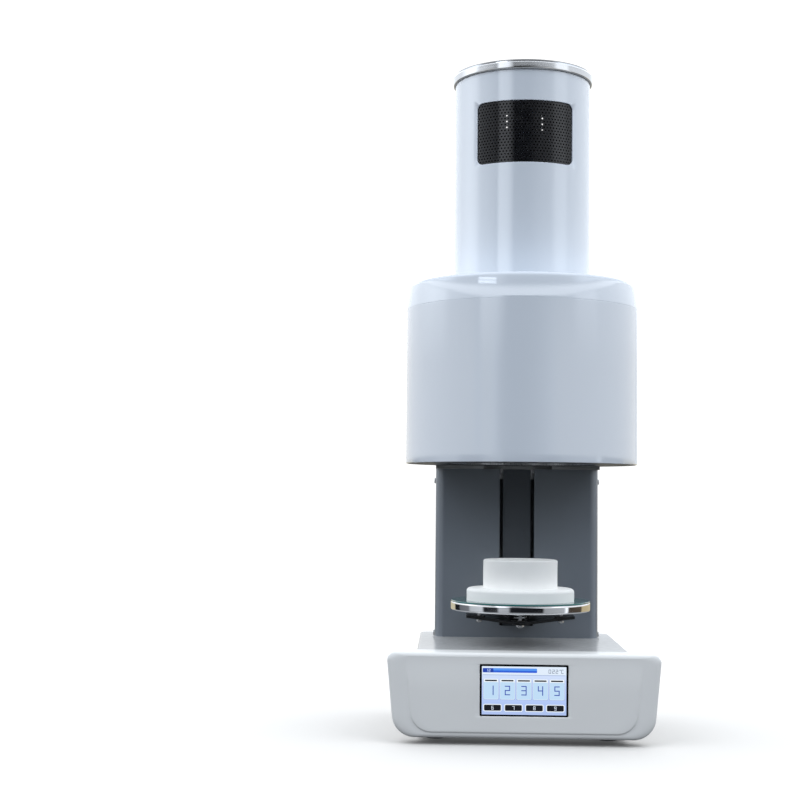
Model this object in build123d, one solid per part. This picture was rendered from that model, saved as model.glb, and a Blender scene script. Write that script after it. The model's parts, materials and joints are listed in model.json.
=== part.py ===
from build123d import *
import math
import os

os.makedirs("parts", exist_ok=True)

# ---------------------------------------------------------------------------
# Dental lab furnace: vacuum porcelain furnace with a motor-driven lift table.
# Millimetres, +Z up, the operator stands at -Y. Everything is laid out about
# the furnace axis (x = 0, y = 0) and shifted by Y_AXIS when it is written, so
# that the frame's origin is the bottom centre of the whole object.
# ---------------------------------------------------------------------------

# overall layout
Y_AXIS = -23.75           # furnace axis in the written frame
Z_FOOT = 8.0              # height of the rubber feet
Z_BASE_TOP = 103.5        # top sheet of the base
Z_BEZEL_TOP = 103.5       # top of the front bezel
Z_COLUMN_TOP = 315.2      # top of the column
Z_TOTAL = 792.0           # top of the rim cap

# base
BASE_HW = 122.0           # half width of the base case
BASE_Y0, BASE_Y1 = -66.0, 168.0
BASE_T = 2.0              # sheet thickness
BEZEL_Y0, BEZEL_Y1 = -100.0, -66.0
BEZEL_HW_TOP, BEZEL_HW_BOT = 156.0, 147.0
BEZEL_T = 3.0             # moulded wall
GLASS_W, GLASS_H = 99.6, 57.6
GLASS_Z = 62.2            # centre height of the touch screen
FOOT_X, FOOT_Y0, FOOT_Y1 = 100.0, -42.0, 142.0

# column
COL_HW = 103.0
COL_Y0, COL_Y1 = 95.0, 160.0
COL_R = 11.0              # rounded front edges
SLOT_HW = 21.9
SLOT_Z0 = 118.0
SLOT_PLATE_HW = 17.4      # fixed plate recessed in the slot, a slit each side
ROD_X, ROD_Y, ROD_R = 34.0, 128.0, 6.0
SCREW_R = 5.0
SCREW_LEAD = 8.0

# lift table
PLATE_R = 83.3
PLATE_Z0, PLATE_Z1 = 145.4, 155.4
SEAL_Z1 = 157.2
SEAL_RI, SEAL_RO = 66.0, 82.8
PLINTH_R1, PLINTH_Z1 = 64.2, 171.5
PLINTH_R2, PLINTH_Z2 = 44.4, 205.4
ARM_Z0, ARM_Z1 = 127.5, 137.5
ARM_HW = 11.0
CROSS_HW = 64.5
V_T = 3.2                 # sheet of the folded arm bracket
SPRING_Z0 = 132.9         # seat of the float spring
SPRING_R, SPRING_WIRE = 7.0, 0.9
STUD_X = 49.0
LIFT_TRAVEL = 162.3
FLOAT_TRAVEL = 3.0

# muffle housing
HOUSE_R = 138.5
HOUSE_T = 1.6
HOUSE_Z0 = 319.4
SEAM_Z = 504.2
SHOULDER_Z = 543.5
FLANGE_Z = 320.0          # lower sealing face
CHAMBER_R = 47.5
BELL_R = 102.0

# tower
TOWER_R = 82.0
TOWER_T = 1.5
TOWER_Z1 = 788.0
WIN_Z0, WIN_Z1 = 670.7, 744.1
WIN_HALF_DEG = 43.5
WIN_R = 7.0
AIR_SLOTS = (-15.9, 29.7)  # relief slots high in the back of the tower
CAP_R = 84.5
CAP_Z0 = 781.0
FAN_Z0 = 600.0
FAN_W = 92.0

PARTS = {}


def keep(name, shape):
    PARTS[name] = shape


def bx(x0, x1, y0, y1, z0, z1):
    return Pos((x0 + x1) / 2, (y0 + y1) / 2, (z0 + z1) / 2) * Box(x1 - x0, y1 - y0, z1 - z0)


def cz(r, z0, z1, x=0.0, y=0.0):
    return Pos(x, y, (z0 + z1) / 2) * Cylinder(r, z1 - z0)


def cy(r, y0, y1, x=0.0, z=0.0):
    return Pos(x, (y0 + y1) / 2, z) * Rot(90, 0, 0) * Cylinder(r, y1 - y0)


def cx(r, x0, x1, y=0.0, z=0.0):
    return Pos((x0 + x1) / 2, y, z) * Rot(0, 90, 0) * Cylinder(r, x1 - x0)


def tube(ro, ri, z0, z1, x=0.0, y=0.0):
    return cz(ro, z0, z1, x, y) - cz(ri, z0 - 1, z1 + 1, x, y)


def spin(points):
    """Solid of revolution about Z from (r, z) points."""
    face = make_face(Polyline([(r, 0, z) for r, z in points], close=True))
    return revolve(face, Axis.Z)


def prism_z(w, d, r, z0, z1, x=0.0, y=0.0):
    sk = RectangleRounded(w, d, r)
    return Pos(x, y, z0) * extrude(sk, z1 - z0)


def prism_y(pts, y0, y1):
    """Prism along Y from (x, z) points."""
    face = make_face(Polyline([(x, y0, z) for x, z in pts], close=True))
    return extrude(face, y1 - y0, dir=(0, 1, 0))


def prism_x(pts, x0, x1):
    """Prism along X from (y, z) points."""
    face = make_face(Polyline([(x0, y, z) for y, z in pts], close=True))
    return extrude(face, x1 - x0, dir=(1, 0, 0))


def hexagon_z(af, z0, z1, x=0.0, y=0.0):
    r = af / math.sqrt(3)
    pts = [(x + r * math.cos(math.radians(60 * k)), y + r * math.sin(math.radians(60 * k)), z0) for k in range(6)]
    return extrude(make_face(Polyline(pts, close=True)), z1 - z0, dir=(0, 0, 1))


def coil(radius, wire, pitch, height, x, y, z0, start=0.0):
    path = Pos(x, y, z0) * Rot(0, 0, start) * Helix(pitch=pitch, height=height, radius=radius)
    section = (path ^ 0) * Circle(wire)
    return sweep(section, path=path, is_frenet=True)


def one(shape):
    """The largest solid of a shape."""
    s = list(shape.solids())
    s.sort(key=lambda k: -k.volume)
    return s[0]


def group(shapes):
    out = []
    for s in shapes:
        out += list(s.solids())
    return Compound(out)


# machine screws: pan head outside, shank through the sheet
SCREWS = []
SCREW_HOLES = []


def screw(x, y, z, axis):
    """Pan-head screw whose head seats at (x, y, z) and faces along axis."""
    head = Cylinder(3.4, 2.0, align=(Align.CENTER, Align.CENTER, Align.MIN))
    head = fillet(head.edges().sort_by(Axis.Z)[-1:], 1.2)
    cross = Pos(0, 0, 1.5) * (Box(3.6, 0.8, 1.6) + Box(0.8, 3.6, 1.6))
    shank = Pos(0, 0, 0.5) * Cylinder(1.9, 7.5, align=(Align.CENTER, Align.CENTER, Align.MAX))
    body = Pos(0, 0, 0.02) * (head - cross) + shank
    hole = Pos(0, 0, 2) * Cylinder(2.0, 14.0, align=(Align.CENTER, Align.CENTER, Align.MAX))
    if axis == "+Y":
        rot = Rot(-90, 0, 0)
    elif axis == "-X":
        rot = Rot(0, -90, 0)
    elif axis == "+X":
        rot = Rot(0, 90, 0)
    elif axis == "-Z":
        rot = Rot(180, 0, 0)
    else:
        rot = Rot(0, 0, 0)
    SCREWS.append(Pos(x, y, z) * rot * body)
    SCREW_HOLES.append(Pos(x, y, z) * rot * hole)


for sx in (-1, 1):
    screw(sx * COL_HW, 99.0 + COL_R, 107.4, "+X" if sx > 0 else "-X")
    screw(sx * COL_HW, 110.0, 300.0, "+X" if sx > 0 else "-X")
    for zz in (112.0, 209.0, 306.0):
        screw(sx * 88.0, COL_Y1 - 0.2, zz, "+Y")
    screw(sx * 112.0, BASE_Y1, 92.0, "+Y")
    screw(sx * BASE_HW, 0.0, 22.0, "+X" if sx > 0 else "-X")
    screw(sx * BASE_HW, 120.0, 22.0, "+X" if sx > 0 else "-X")
screw(0.0, TOWER_R, 560.0, "+Y")
keep("case_screws", group(SCREWS))


def drill(shape):
    box = shape.bounding_box()
    for h in SCREW_HOLES:
        b = h.bounding_box()
        if (b.min.X <= box.max.X and b.max.X >= box.min.X and b.min.Y <= box.max.Y
                and b.max.Y >= box.min.Y and b.min.Z <= box.max.Z and b.max.Z >= box.min.Z):
            shape = shape - h
    return shape


# ---------------------------------------------------------------------------
# base
# ---------------------------------------------------------------------------
feet = []
for sx in (-1, 1):
    for yy in (FOOT_Y0, FOOT_Y1):
        f = cz(12.0, 0, Z_FOOT, sx * FOOT_X, yy)
        f = fillet(f.edges().filter_by(GeomType.CIRCLE).sort_by(Axis.Z)[:1], 1.5)
        feet.append(f)
keep("rubber_feet", group(feet))

plate = bx(-BASE_HW + 2.2, BASE_HW - 2.2, BASE_Y0 + 2, BASE_Y1 - 2.2, Z_FOOT, Z_FOOT + 2)
plate = fillet(plate.edges().filter_by(Axis.Z).sort_by(Axis.Y)[-2:], 10)
for k in range(7):
    plate -= bx(-60 + 20 * k - 3, -60 + 20 * k + 3, -20, 20, 0, 20)
keep("base_plate", drill(plate))

# base case: one folded sheet with top, two sides and back
case = bx(-BASE_HW, BASE_HW, BASE_Y0, BASE_Y1, Z_FOOT, Z_BASE_TOP)
case = fillet(case.edges().filter_by(Axis.Z).sort_by(Axis.Y)[-2:], 12)
top_edges = [e for e in case.edges() if e.center().Z > Z_BASE_TOP - 0.1 and e.center().Y > BASE_Y0 + 1]
case = fillet(top_edges, 2.5)
hollow = bx(-BASE_HW + BASE_T, BASE_HW - BASE_T, BASE_Y0 - 5, BASE_Y1 - BASE_T, Z_FOOT - 5, Z_BASE_TOP - BASE_T)
hollow = fillet(hollow.edges().filter_by(Axis.Z).sort_by(Axis.Y)[-2:], 10)
case = case - hollow
case -= bx(-96, 96, 99.5, 154, Z_BASE_TOP - 5, Z_BASE_TOP + 1)      # column foot opening
INLET_X, INLET_Z = 48.0, 45.0
OUTLET_X = -48.0
SWITCH_X, SWITCH_Z = 106.5, 45.0
PORT_X, PORT_Z = -106.0, 50.0
case -= bx(INLET_X - 13.7, INLET_X + 13.7, 150, 175, 25.8, 64.2)
case -= bx(OUTLET_X - 13.7, OUTLET_X + 13.7, 150, 175, 30.8, 59.2)
case -= bx(SWITCH_X - 6.7, SWITCH_X + 6.7, 150, 175, SWITCH_Z - 10.0, SWITCH_Z + 10.0)
case -= cy(5.1, 150, 175, PORT_X, PORT_Z)
for k in range(8):
    case -= bx(-21 + 6 * k - 1.5, -21 + 6 * k + 1.5, 150, 175, 76, 96)  # vents in the back
for k in range(8):
    for sx in (-1, 1):
        case -= bx(sx * BASE_HW - 5, sx * BASE_HW + 5, -20 + 8 * k - 1.5, -20 + 8 * k + 1.5, 50, 80)
keep("base_shell", drill(case))

# front bezel: tapered moulding, hollow at the back, with a raised face
def bezel_outline(inset_side, inset_bot, inset_top):
    zb, zt = Z_FOOT + inset_bot, Z_BEZEL_TOP - inset_top
    slope = (BEZEL_HW_TOP - BEZEL_HW_BOT) / (Z_BEZEL_TOP - Z_FOOT)
    wb = BEZEL_HW_BOT + slope * (zb - Z_FOOT) - inset_side
    wt = BEZEL_HW_BOT + slope * (zt - Z_FOOT) - inset_side
    return [(-wb, zb), (wb, zb), (wt, zt), (-wt, zt)]


def bezel_prism(inset_side, inset_bot, inset_top, y0, y1, r_bot, r_top):
    p = prism_y(bezel_outline(inset_side, inset_bot, inset_top), y0, y1)
    ed = [e for e in p.edges() if abs(e.length - abs(y1 - y0)) < 1e-3 and abs(e.tangent_at(0).Y) > 0.99]
    ed.sort(key=lambda e: e.center().Z)
    p = fillet(ed[:2], r_bot)
    ed = [e for e in p.edges() if abs(e.length - abs(y1 - y0)) < 1e-3 and abs(e.tangent_at(0).Y) > 0.99]
    ed.sort(key=lambda e: -e.center().Z)
    return fillet(ed[:2], r_top)


bezel = bezel_prism(0, 0, 0, BEZEL_Y0, BEZEL_Y1, 26, 9)
front_edges = [e for e in bezel.edges() if e.center().Y < BEZEL_Y0 + 0.01]
bezel = fillet(front_edges, 4.0)
inner = bezel_prism(BEZEL_T, BEZEL_T, BEZEL_T, BEZEL_Y0 + BEZEL_T, BEZEL_Y1 + 5, 23, 6)
bezel = bezel - inner
face = bezel_prism(20.5, 5.6, 5.0, BEZEL_Y0 - 1.2, BEZEL_Y0 + 1.0, 25, 5)
face = chamfer([e for e in face.edges() if e.center().Y < BEZEL_Y0 - 1.19], 1.0)
bezel = bezel + face
WX, WZ = GLASS_W / 2 + 0.2, GLASS_H / 2 + 0.2
bezel -= Pos(0, 0, GLASS_Z) * Rot(90, 0, 0) * extrude(RectangleRounded(2 * WX, 2 * WZ, 1.5), 200, both=True)
for sx in (-1, 1):                                   # fixing bosses behind the face
    for zz in (24.0, 92.0):
        bezel += cy(4.0, BEZEL_Y0 + 1, BEZEL_Y1 - 3.4, sx * 126, zz) - cy(1.6, -90, -60, sx * 126, zz)
keep("front_bezel", one(bezel))
back = bezel_prism(BEZEL_T + 0.2, BEZEL_T + 0.2, BEZEL_T + 0.2, BEZEL_Y1 - 3.2, BEZEL_Y1 - 0.2, 22.8, 5.8)
back -= bx(-112, 112, -80, -60, 18, 96)
for sx in (-1, 1):
    for zz in (24.0, 92.0):
        back -= cy(1.7, -80, -60, sx * 126, zz)
keep("bezel_rear_frame", one(back))

glass = Pos(0, -99.9, GLASS_Z) * Rot(90, 0, 0) * extrude(RectangleRounded(GLASS_W, GLASS_H, 1.3), 0.9, both=True)
keep("display_glass", glass)
module = bx(-53, 53, -97 + 0.1, -92, GLASS_Z - 33.5, GLASS_Z + 33.5)
module += bx(-49.4, 49.4, -98.9, -96.5, GLASS_Z - 28.4, GLASS_Z + 28.4)
keep("display_module", module)

board = bx(-75, 75, -84, -82.4, 18, 98)
for xx in (-70, 70):
    for zz in (23, 93):
        board += cy(2.5, -92, -83.5, xx, zz) if abs(xx) < 53 else cy(2.5, -90, -83.5, xx, zz)
for (x0, x1, z0, z1, d) in ((-66, -40, 30, 50, 11), (-34, -14, 26, 40, 8), (-8, 16, 24, 48, 3),
                            (24, 40, 26, 44, 12), (46, 68, 24, 34, 10), (46, 68, 40, 50, 10),
                            (-62, -44, 66, 84, 9), (-30, 10, 64, 76, 5), (24, 60, 66, 86, 7)):
    board += bx(x0, x1, -82.6, -82.4 + d, z0, z1)
keep("control_board", board)

psu = bx(-112, -30, -40, 78, 12, 50)
psu = fillet(psu.edges().filter_by(Axis.Z), 1.5)
psu -= bx(-108, -34, -45, -28, 32, 60)
for k in range(9):
    psu -= bx(-104 + 8 * k - 1.5, -104 + 8 * k + 1.5, 0, 60, 48, 55)
for k in range(4):
    psu += cz(5.0, 10.0, 12.1, -104 + 22.0 * k, 60.0)
keep("power_supply", psu)

sink = bx(36, 104, 6, 86, 10.0, 15)
for k in range(9):
    sink += bx(36 + 8.25 * k, 36 + 8.25 * k + 2, 6, 86, 14, 40)
sink += bx(36, 104, 6, 86, 36, 40)
keep("relay_heat_sink", sink)
relay = bx(48, 92, 17, 75, 40.0, 66)
relay = fillet(relay.edges().filter_by(Axis.Z), 3)
for xx in (58, 82):
    for yy in (25, 67):
        relay += cz(4.0, 65, 70, xx, yy)
keep("solid_state_relay", relay)

# vacuum line: nipple, solenoid valve, steel pipe up the column to the bell
port = cy(4.0, BASE_Y1 + 2, BASE_Y1 + 18, PORT_X, PORT_Z)
port += cy(5.0, 146, BASE_Y1 + 1, PORT_X, PORT_Z)
port += Pos(PORT_X, BASE_Y1 + 1.6, PORT_Z) * Rot(90, 0, 0) * extrude(RegularPolygon(8.5, 6), 1.6, both=True)
port -= cy(2.4, 140, 200, PORT_X, PORT_Z)
keep("vacuum_port", one(port))
valve = bx(-117, -96, 96, 146, 38, 60)
valve += cz(9.0, 59, 62, -106, 112)
valve += bx(-117, -97, 124, 146, 59, 88)
valve -= cy(2.4, 130, 150, PORT_X, PORT_Z)
keep("vacuum_solenoid_valve", valve)
PIPE_R = 3.0
PX, PY = -60.0, 108.0
pd = math.hypot(PX, PY)
ex, ey = PX / pd * (BELL_R + 0.2), PY / pd * (BELL_R + 0.2)
pts = [(-106, 108, 62.0), (-106, 108, 84), (PX, PY, 84), (PX, PY, 350), (ex, ey, 350)]
line = Polyline(pts)
line = FilletPolyline(pts, radius=8)
sec = Plane(origin=pts[0], z_dir=(0, 0, 1)) * Circle(PIPE_R)
pipe = sweep(sec, path=line)
keep("vacuum_pipe", pipe)

# power inlet with its fuse drawer, pump outlet, rocker switch
ix = INLET_X
inlet = bx(ix - 15.5, ix + 15.5, BASE_Y1, BASE_Y1 + 2.5, 23.5, 66.5)
inlet = fillet(inlet.edges().filter_by(Axis.Y), 2.5)
inlet += bx(ix - 13.5, ix + 13.5, 143, BASE_Y1 + 0.5, 26, 64)
cav = prism_y([(ix - 12.3, 44.5), (ix + 12.3, 44.5), (ix + 12.3, 57.0), (ix + 8.3, 61.5), (ix - 8.3, 61.5), (ix - 12.3, 57.0)], 152, 175)
inlet -= cav
for (dx, dz) in ((-7.0, 50.0), (7.0, 50.0), (0.0, 54.0)):
    inlet += bx(ix + dx - 1.0, ix + dx + 1.0, 150, 167, dz - 2.0, dz + 2.0)
inlet -= bx(ix - 11.3, ix + 11.3, 149, 175, 28.4, 38.6)
for dx in (-8, 0, 8):
    inlet += bx(ix + dx - 3, ix + dx + 3, 136, 143.5, 50, 51)
keep("power_inlet", one(inlet))
drawer = bx(ix - 11, ix + 11, 150, BASE_Y1 + 3.5, 28.7, 38.3)
drawer -= bx(ix - 9.5, ix - 1, 151.5, 166, 30.5, 40)
drawer -= bx(ix + 1, ix + 9.5, 151.5, 166, 30.5, 40)
drawer -= bx(ix - 4, ix + 4, BASE_Y1 + 1, BASE_Y1 + 5, 36.6, 40)
keep("fuse_drawer", one(drawer))

ox = OUTLET_X
outlet = bx(ox - 15.5, ox + 15.5, BASE_Y1, BASE_Y1 + 2.5, 28.5, 61.5)
outlet = fillet(outlet.edges().filter_by(Axis.Y), 2.5)
outlet += bx(ox - 13.5, ox + 13.5, 146, BASE_Y1 + 0.5, 31, 59)
groove = prism_y([(ox - 12.3, 36), (ox + 12.3, 36), (ox + 12.3, 50), (ox + 8.3, 54.5), (ox - 8.3, 54.5), (ox - 12.3, 50)], 156, 175)
island = prism_y([(ox - 10, 38), (ox + 10, 38), (ox + 10, 49.2), (ox + 7.2, 52.4), (ox - 7.2, 52.4), (ox - 10, 49.2)], 155, BASE_Y1 + 2.5)
outlet = outlet - groove + island
for (dx, dz) in ((-7.0, 44.0), (7.0, 44.0), (0.0, 48.0)):
    outlet -= bx(ox + dx - 1.2, ox + dx + 1.2, 152, 175, dz - 2.2, dz + 2.2)
keep("pump_outlet", one(outlet))

wx, wz = SWITCH_X, SWITCH_Z
sw = bx(wx - 8, wx + 8, BASE_Y1, BASE_Y1 + 2, wz - 11.5, wz + 11.5)
sw = fillet(sw.edges().filter_by(Axis.Y), 1.5)
sw += bx(wx - 6.5, wx + 6.5, 148, BASE_Y1 + 0.5, wz - 9.8, wz + 9.8)
sw -= bx(wx - 5.4, wx + 5.4, 157.5, 175, wz - 8.3, wz + 8.3)
PIV_Y = 164.0
sw -= cx(1.26, wx - 6.2, wx + 6.2, PIV_Y, wz)
for dz in (-5, 5):
    sw += bx(wx - 2.4, wx + 2.4, 140, 148.5, wz + dz - 0.4, wz + dz + 0.4)
keep("power_switch_housing", one(sw))
rk = prism_x([(PIV_Y + 4.6, wz + 7.2), (PIV_Y + 5.6, wz), (PIV_Y + 4.6, wz - 7.2), (PIV_Y - 2.2, wz - 6), (PIV_Y - 2.2, wz + 6)], wx - 5.05, wx + 5.05)
rk += cx(1.2, wx - 6.1, wx + 6.1, PIV_Y, wz)
rk = Pos(0, PIV_Y, wz) * Rot(-12, 0, 0) * Pos(0, -PIV_Y, -wz) * rk
keep("power_rocker", rk)

# ---------------------------------------------------------------------------
# column
# ---------------------------------------------------------------------------
frame = None
for sx in (-1, 1):
    x0, x1 = (74, 94) if sx > 0 else (-94, -74)
    up = bx(x0, x1, 120, 150, 10, 311.2) - bx(x0 + 2, x1 - 2, 122, 148, 5, 320)
    foot = bx(min(x0, x1) - (0 if sx > 0 else 2), max(x0, x1) + (2 if sx > 0 else 0), 112, 156, 10, 14)
    foot -= bx(x0 + 2, x1 - 2, 122, 148, 5, 20)
    up += foot
    frame = up if frame is None else frame + up
frame += bx(-75, 75, 113, 146, 70, 80)
frame += bx(-75, 75, 113, 146, 303, 311.2)
frame += bx(-96, 96, 104, 155, 311.2, Z_COLUMN_TOP)
for sx in (-1, 1):
    frame -= cz(ROD_R + 0.03, 60, 312, sx * ROD_X, ROD_Y)
frame -= cz(11.03, 72.5, 81, 0, ROD_Y)
frame -= cz(7.5, 60, 80, 0, ROD_Y)
frame -= cz(11.03, 300, 309.5, 0, ROD_Y)
frame -= cz(PIPE_R + 1.5, 300, 320, PX, PY)
for sx in (-1, 1):
    for yy in (114, 144):
        frame -= cz(2.6, 305, 320, sx * 60, yy)
keep("column_frame", one(frame))

cover = bx(-COL_HW, COL_HW, COL_Y0, COL_Y1, Z_BASE_TOP, Z_COLUMN_TOP)
cover = fillet(cover.edges().filter_by(Axis.Z).sort_by(Axis.Y)[:2], COL_R)
core = bx(-COL_HW + 2, COL_HW - 2, COL_Y0 + 2, COL_Y1 + 5, Z_BASE_TOP - 1, Z_COLUMN_TOP + 1)
core = fillet(core.edges().filter_by(Axis.Z).sort_by(Axis.Y)[:2], COL_R - 2)
cover = cover - core
slot = bx(-SLOT_HW, SLOT_HW, COL_Y0 - 5, COL_Y0 + 6, SLOT_Z0, Z_COLUMN_TOP + 5)
slot = fillet(slot.edges().filter_by(Axis.Y).sort_by(Axis.Z)[:2], 3)
cover -= slot
for sx in (-1, 1):                                    # returned edges of the slot and the back flanges
    cover += bx(sx * SLOT_HW - (0 if sx > 0 else 1.5), sx * SLOT_HW + (1.5 if sx > 0 else 0), COL_Y0 + 1, COL_Y0 + 7, SLOT_Z0 + 4, Z_COLUMN_TOP)
    cover += bx(min(sx * 81, sx * 99.5), max(sx * 81, sx * 99.5), COL_Y1 - 4.4, COL_Y1 - 2.4, Z_BASE_TOP, Z_COLUMN_TOP)
keep("column_cover", one(drill(cover)))
plate_slot = bx(-SLOT_PLATE_HW, SLOT_PLATE_HW, COL_Y0 + 6, COL_Y0 + 7.5, Z_BASE_TOP + 0.5, Z_COLUMN_TOP - 0.2)
plate_slot += bx(-SLOT_PLATE_HW, SLOT_PLATE_HW, COL_Y0 + 2.02, COL_Y0 + 7, Z_BASE_TOP + 0.5, Z_BASE_TOP + 2.5)
plate_slot += bx(-SLOT_PLATE_HW, SLOT_PLATE_HW, COL_Y0 + 7, 103.98, Z_COLUMN_TOP - 2.5, Z_COLUMN_TOP - 0.2)
keep("slot_plate", plate_slot)
rear = bx(-COL_HW + 2.2, COL_HW - 2.2, COL_Y1 - 2.2, COL_Y1 - 0.2, Z_BASE_TOP + 0.3, Z_COLUMN_TOP - 0.3)
for k in range(8):
    for sx in (-1, 1):
        rear -= bx(sx * 56 - 16, sx * 56 + 16, COL_Y1 - 5, COL_Y1 + 5, 222 + 8 * k, 225 + 8 * k)
keep("column_rear_panel", drill(rear))

top = bx(-COL_HW, COL_HW, 76, COL_Y1, Z_COLUMN_TOP, Z_COLUMN_TOP + 4)
top = fillet(top.edges().filter_by(Axis.Z).sort_by(Axis.Y)[:2], 4)
top -= bx(-43, 43, 60, COL_Y0 + 3, 300, 330)
top -= cz(PIPE_R + 1.5, 300, 330, PX, PY)
for sx in (-1, 1):
    for yy in (114, 144):
        top -= cz(2.6, 300, 330, sx * 60, yy) if yy == 144 else cz(2.6, 300, 330, sx * 78, yy)
keep("top_mounting_plate", top)

rods = [cz(ROD_R, 70, 311.0, sx * ROD_X, ROD_Y) for sx in (-1, 1)]
keep("guide_rods", group([chamfer(r.edges(), 0.8) for r in rods]))
leadscrew = cz(SCREW_R, 60, 309.2, 0, ROD_Y)
leadscrew = chamfer(leadscrew.edges(), 0.8)
keep("lead_screw", leadscrew)
bear = []
for (z0, z1) in ((72.7, 79.7), (303.2, 309.2)):
    b = tube(11.0, SCREW_R + 0.05, z0, z1, 0, ROD_Y)
    b -= tube(9.4, 6.8, z0 - 1, z0 + 0.8, 0, ROD_Y)
    b -= tube(9.4, 6.8, z1 - 0.8, z1 + 1, 0, ROD_Y)
    bear.append(b)
keep("screw_bearings", group(bear))
motor = prism_z(42.3, 42.3, 4, 10.0, 44, 0, ROD_Y)
motor += cz(11, 43, 46, 0, ROD_Y)
motor -= tube(40, 21.15, 15, 39, 0, ROD_Y)
motor -= cz(2.56, 30, 60, 0, ROD_Y)
keep("lift_motor", motor)
coupling = cz(9.5, 47.0, 68.0, 0, ROD_Y) - cz(SCREW_R + 0.02, 59.9, 70, 0, ROD_Y)
coupling += cz(2.5, 32.0, 48.0, 0, ROD_Y)
for k in range(4):
    coupling -= tube(12, 6.5, 51 + 1.9 * k, 51.9 + 1.9 * k, 0, ROD_Y)
keep("motor_coupling", one(coupling))
sens = []
for z0 in (124.0, 124.0 + LIFT_TRAVEL + 6.0):
    s = bx(60, 73.9, 114, 126, z0, z0 + 8) - bx(55, 69, 118.2, 121.8, z0 - 1, z0 + 9)
    sens.append(s)
keep("limit_sensors", group(sens))

# ---------------------------------------------------------------------------
# lift: carriage, nut, bushings, arm
# ---------------------------------------------------------------------------
CZ0, CZ1 = 84.0, 138.0
car = bx(-50, 50, 110, 146, CZ0, CZ1)
car = fillet(car.edges().filter_by(Axis.Z), 2)
for sx in (-1, 1):
    car -= cz(10.53, CZ0 - 1, CZ1 + 1, sx * ROD_X, ROD_Y)
car -= cz(8.03, CZ0 - 1, CZ1 + 1, 0, ROD_Y)
car -= cz(14.1, CZ1 - 4, CZ1 + 1, 0, ROD_Y)
ARM_SCREWS = [(-13, 104), (13, 104), (-13, 122), (13, 122)]
for (xx, zz) in ARM_SCREWS:
    car -= cy(2.0, 105, 118, xx, zz)
car += bx(49.5, 66, 119.5, 120.5, 126, 136)           # flag that passes the limit sensors
keep("carriage_block", one(car))
bush = [tube(10.5, ROD_R + 0.05, CZ0 + 1, CZ1 - 1, sx * ROD_X, ROD_Y) for sx in (-1, 1)]
keep("linear_bushings", group(bush))
nut = tube(8.0, SCREW_R + 0.05, CZ0 + 24, CZ1, 0, ROD_Y) + tube(14.0, SCREW_R + 0.05, CZ1 - 3.9, CZ1 + 1, 0, ROD_Y)
for k in range(4):
    a = math.radians(45 + 90 * k)
    nut += cz(1.6, CZ1 + 0.5, CZ1 + 2.4, 10.6 * math.cos(a), ROD_Y + 10.6 * math.sin(a))
keep("lift_nut", one(nut))

cross = prism_y([(-CROSS_HW, 136.0), (0, ARM_Z0), (CROSS_HW, 136.0), (CROSS_HW, 136.0 + V_T), (0, ARM_Z0 + V_T), (-CROSS_HW, 136.0 + V_T)], -12, 90)
plan = make_face(Polyline([(-CROSS_HW, -12, 120), (CROSS_HW, -12, 120), (CROSS_HW, 20, 120), (21.2, 90, 120), (-21.2, 90, 120), (-CROSS_HW, 20, 120)], close=True))
cross = cross & extrude(plan, 30, dir=(0, 0, 1))
arm = cross + bx(-ARM_HW, ARM_HW, 13, 76, ARM_Z0 + 1.5, ARM_Z1)
arm = arm + cz(9.6, ARM_Z0, SPRING_Z0 - 0.1, 0, 0)
arm += extrude(make_face(Polyline([(-ARM_HW, 55, 130), (ARM_HW, 55, 130), (21.2, 74, 130), (21.2, 90, 130),
                                   (-21.2, 90, 130), (-21.2, 74, 130)], close=True)), ARM_Z1 - 130, dir=(0, 0, 1))
arm += bx(-21.2, 21.2, 104, 110 - 0.02, 96, ARM_Z1)
for sx in (-1, 1):                                    # side plates that run in the slits
    arm += prism_x([(80, 130), (88, 122), (104.5, 122), (104.5, ARM_Z1), (80, ARM_Z1)], min(sx * 18.2, sx * 21.2), max(sx * 18.2, sx * 21.2))
for sx in (-1, 1):
    arm += cz(7.6, 134.5, 138.4, sx * STUD_X, 0)
    arm -= cz(2.1, 120, 150, sx * STUD_X, 0)
    arm -= prism_z(7.0, 7.0, 2, 120, 133.2, sx * STUD_X, 0)
arm -= cz(2.55, 110, 150, 0, 0)
for (xx, zz) in ARM_SCREWS:
    arm -= cy(2.0, 100, 112, xx, zz) + cy(4.1, 100, 107.2, xx, zz)
keep("lift_arm", one(arm))
asc = []
for (xx, zz) in ARM_SCREWS:
    s = cy(1.9, 106.5, 117.0, xx, zz) + cy(4.0, 104.2, 107.18, xx, zz)
    s -= Pos(xx, 104.2, zz) * Rot(90, 0, 0) * extrude(RegularPolygon(1.8, 6), 1.6, both=True)
    asc.append(s)
keep("arm_screws", group(asc))

spring_h = PLATE_Z0 - 0.2 - SPRING_Z0 - 2 * SPRING_WIRE
keep("table_spring", one(coil(SPRING_R, SPRING_WIRE, spring_h / 3.25, spring_h, 0, 0, SPRING_Z0 + SPRING_WIRE + 0.1)))

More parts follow.
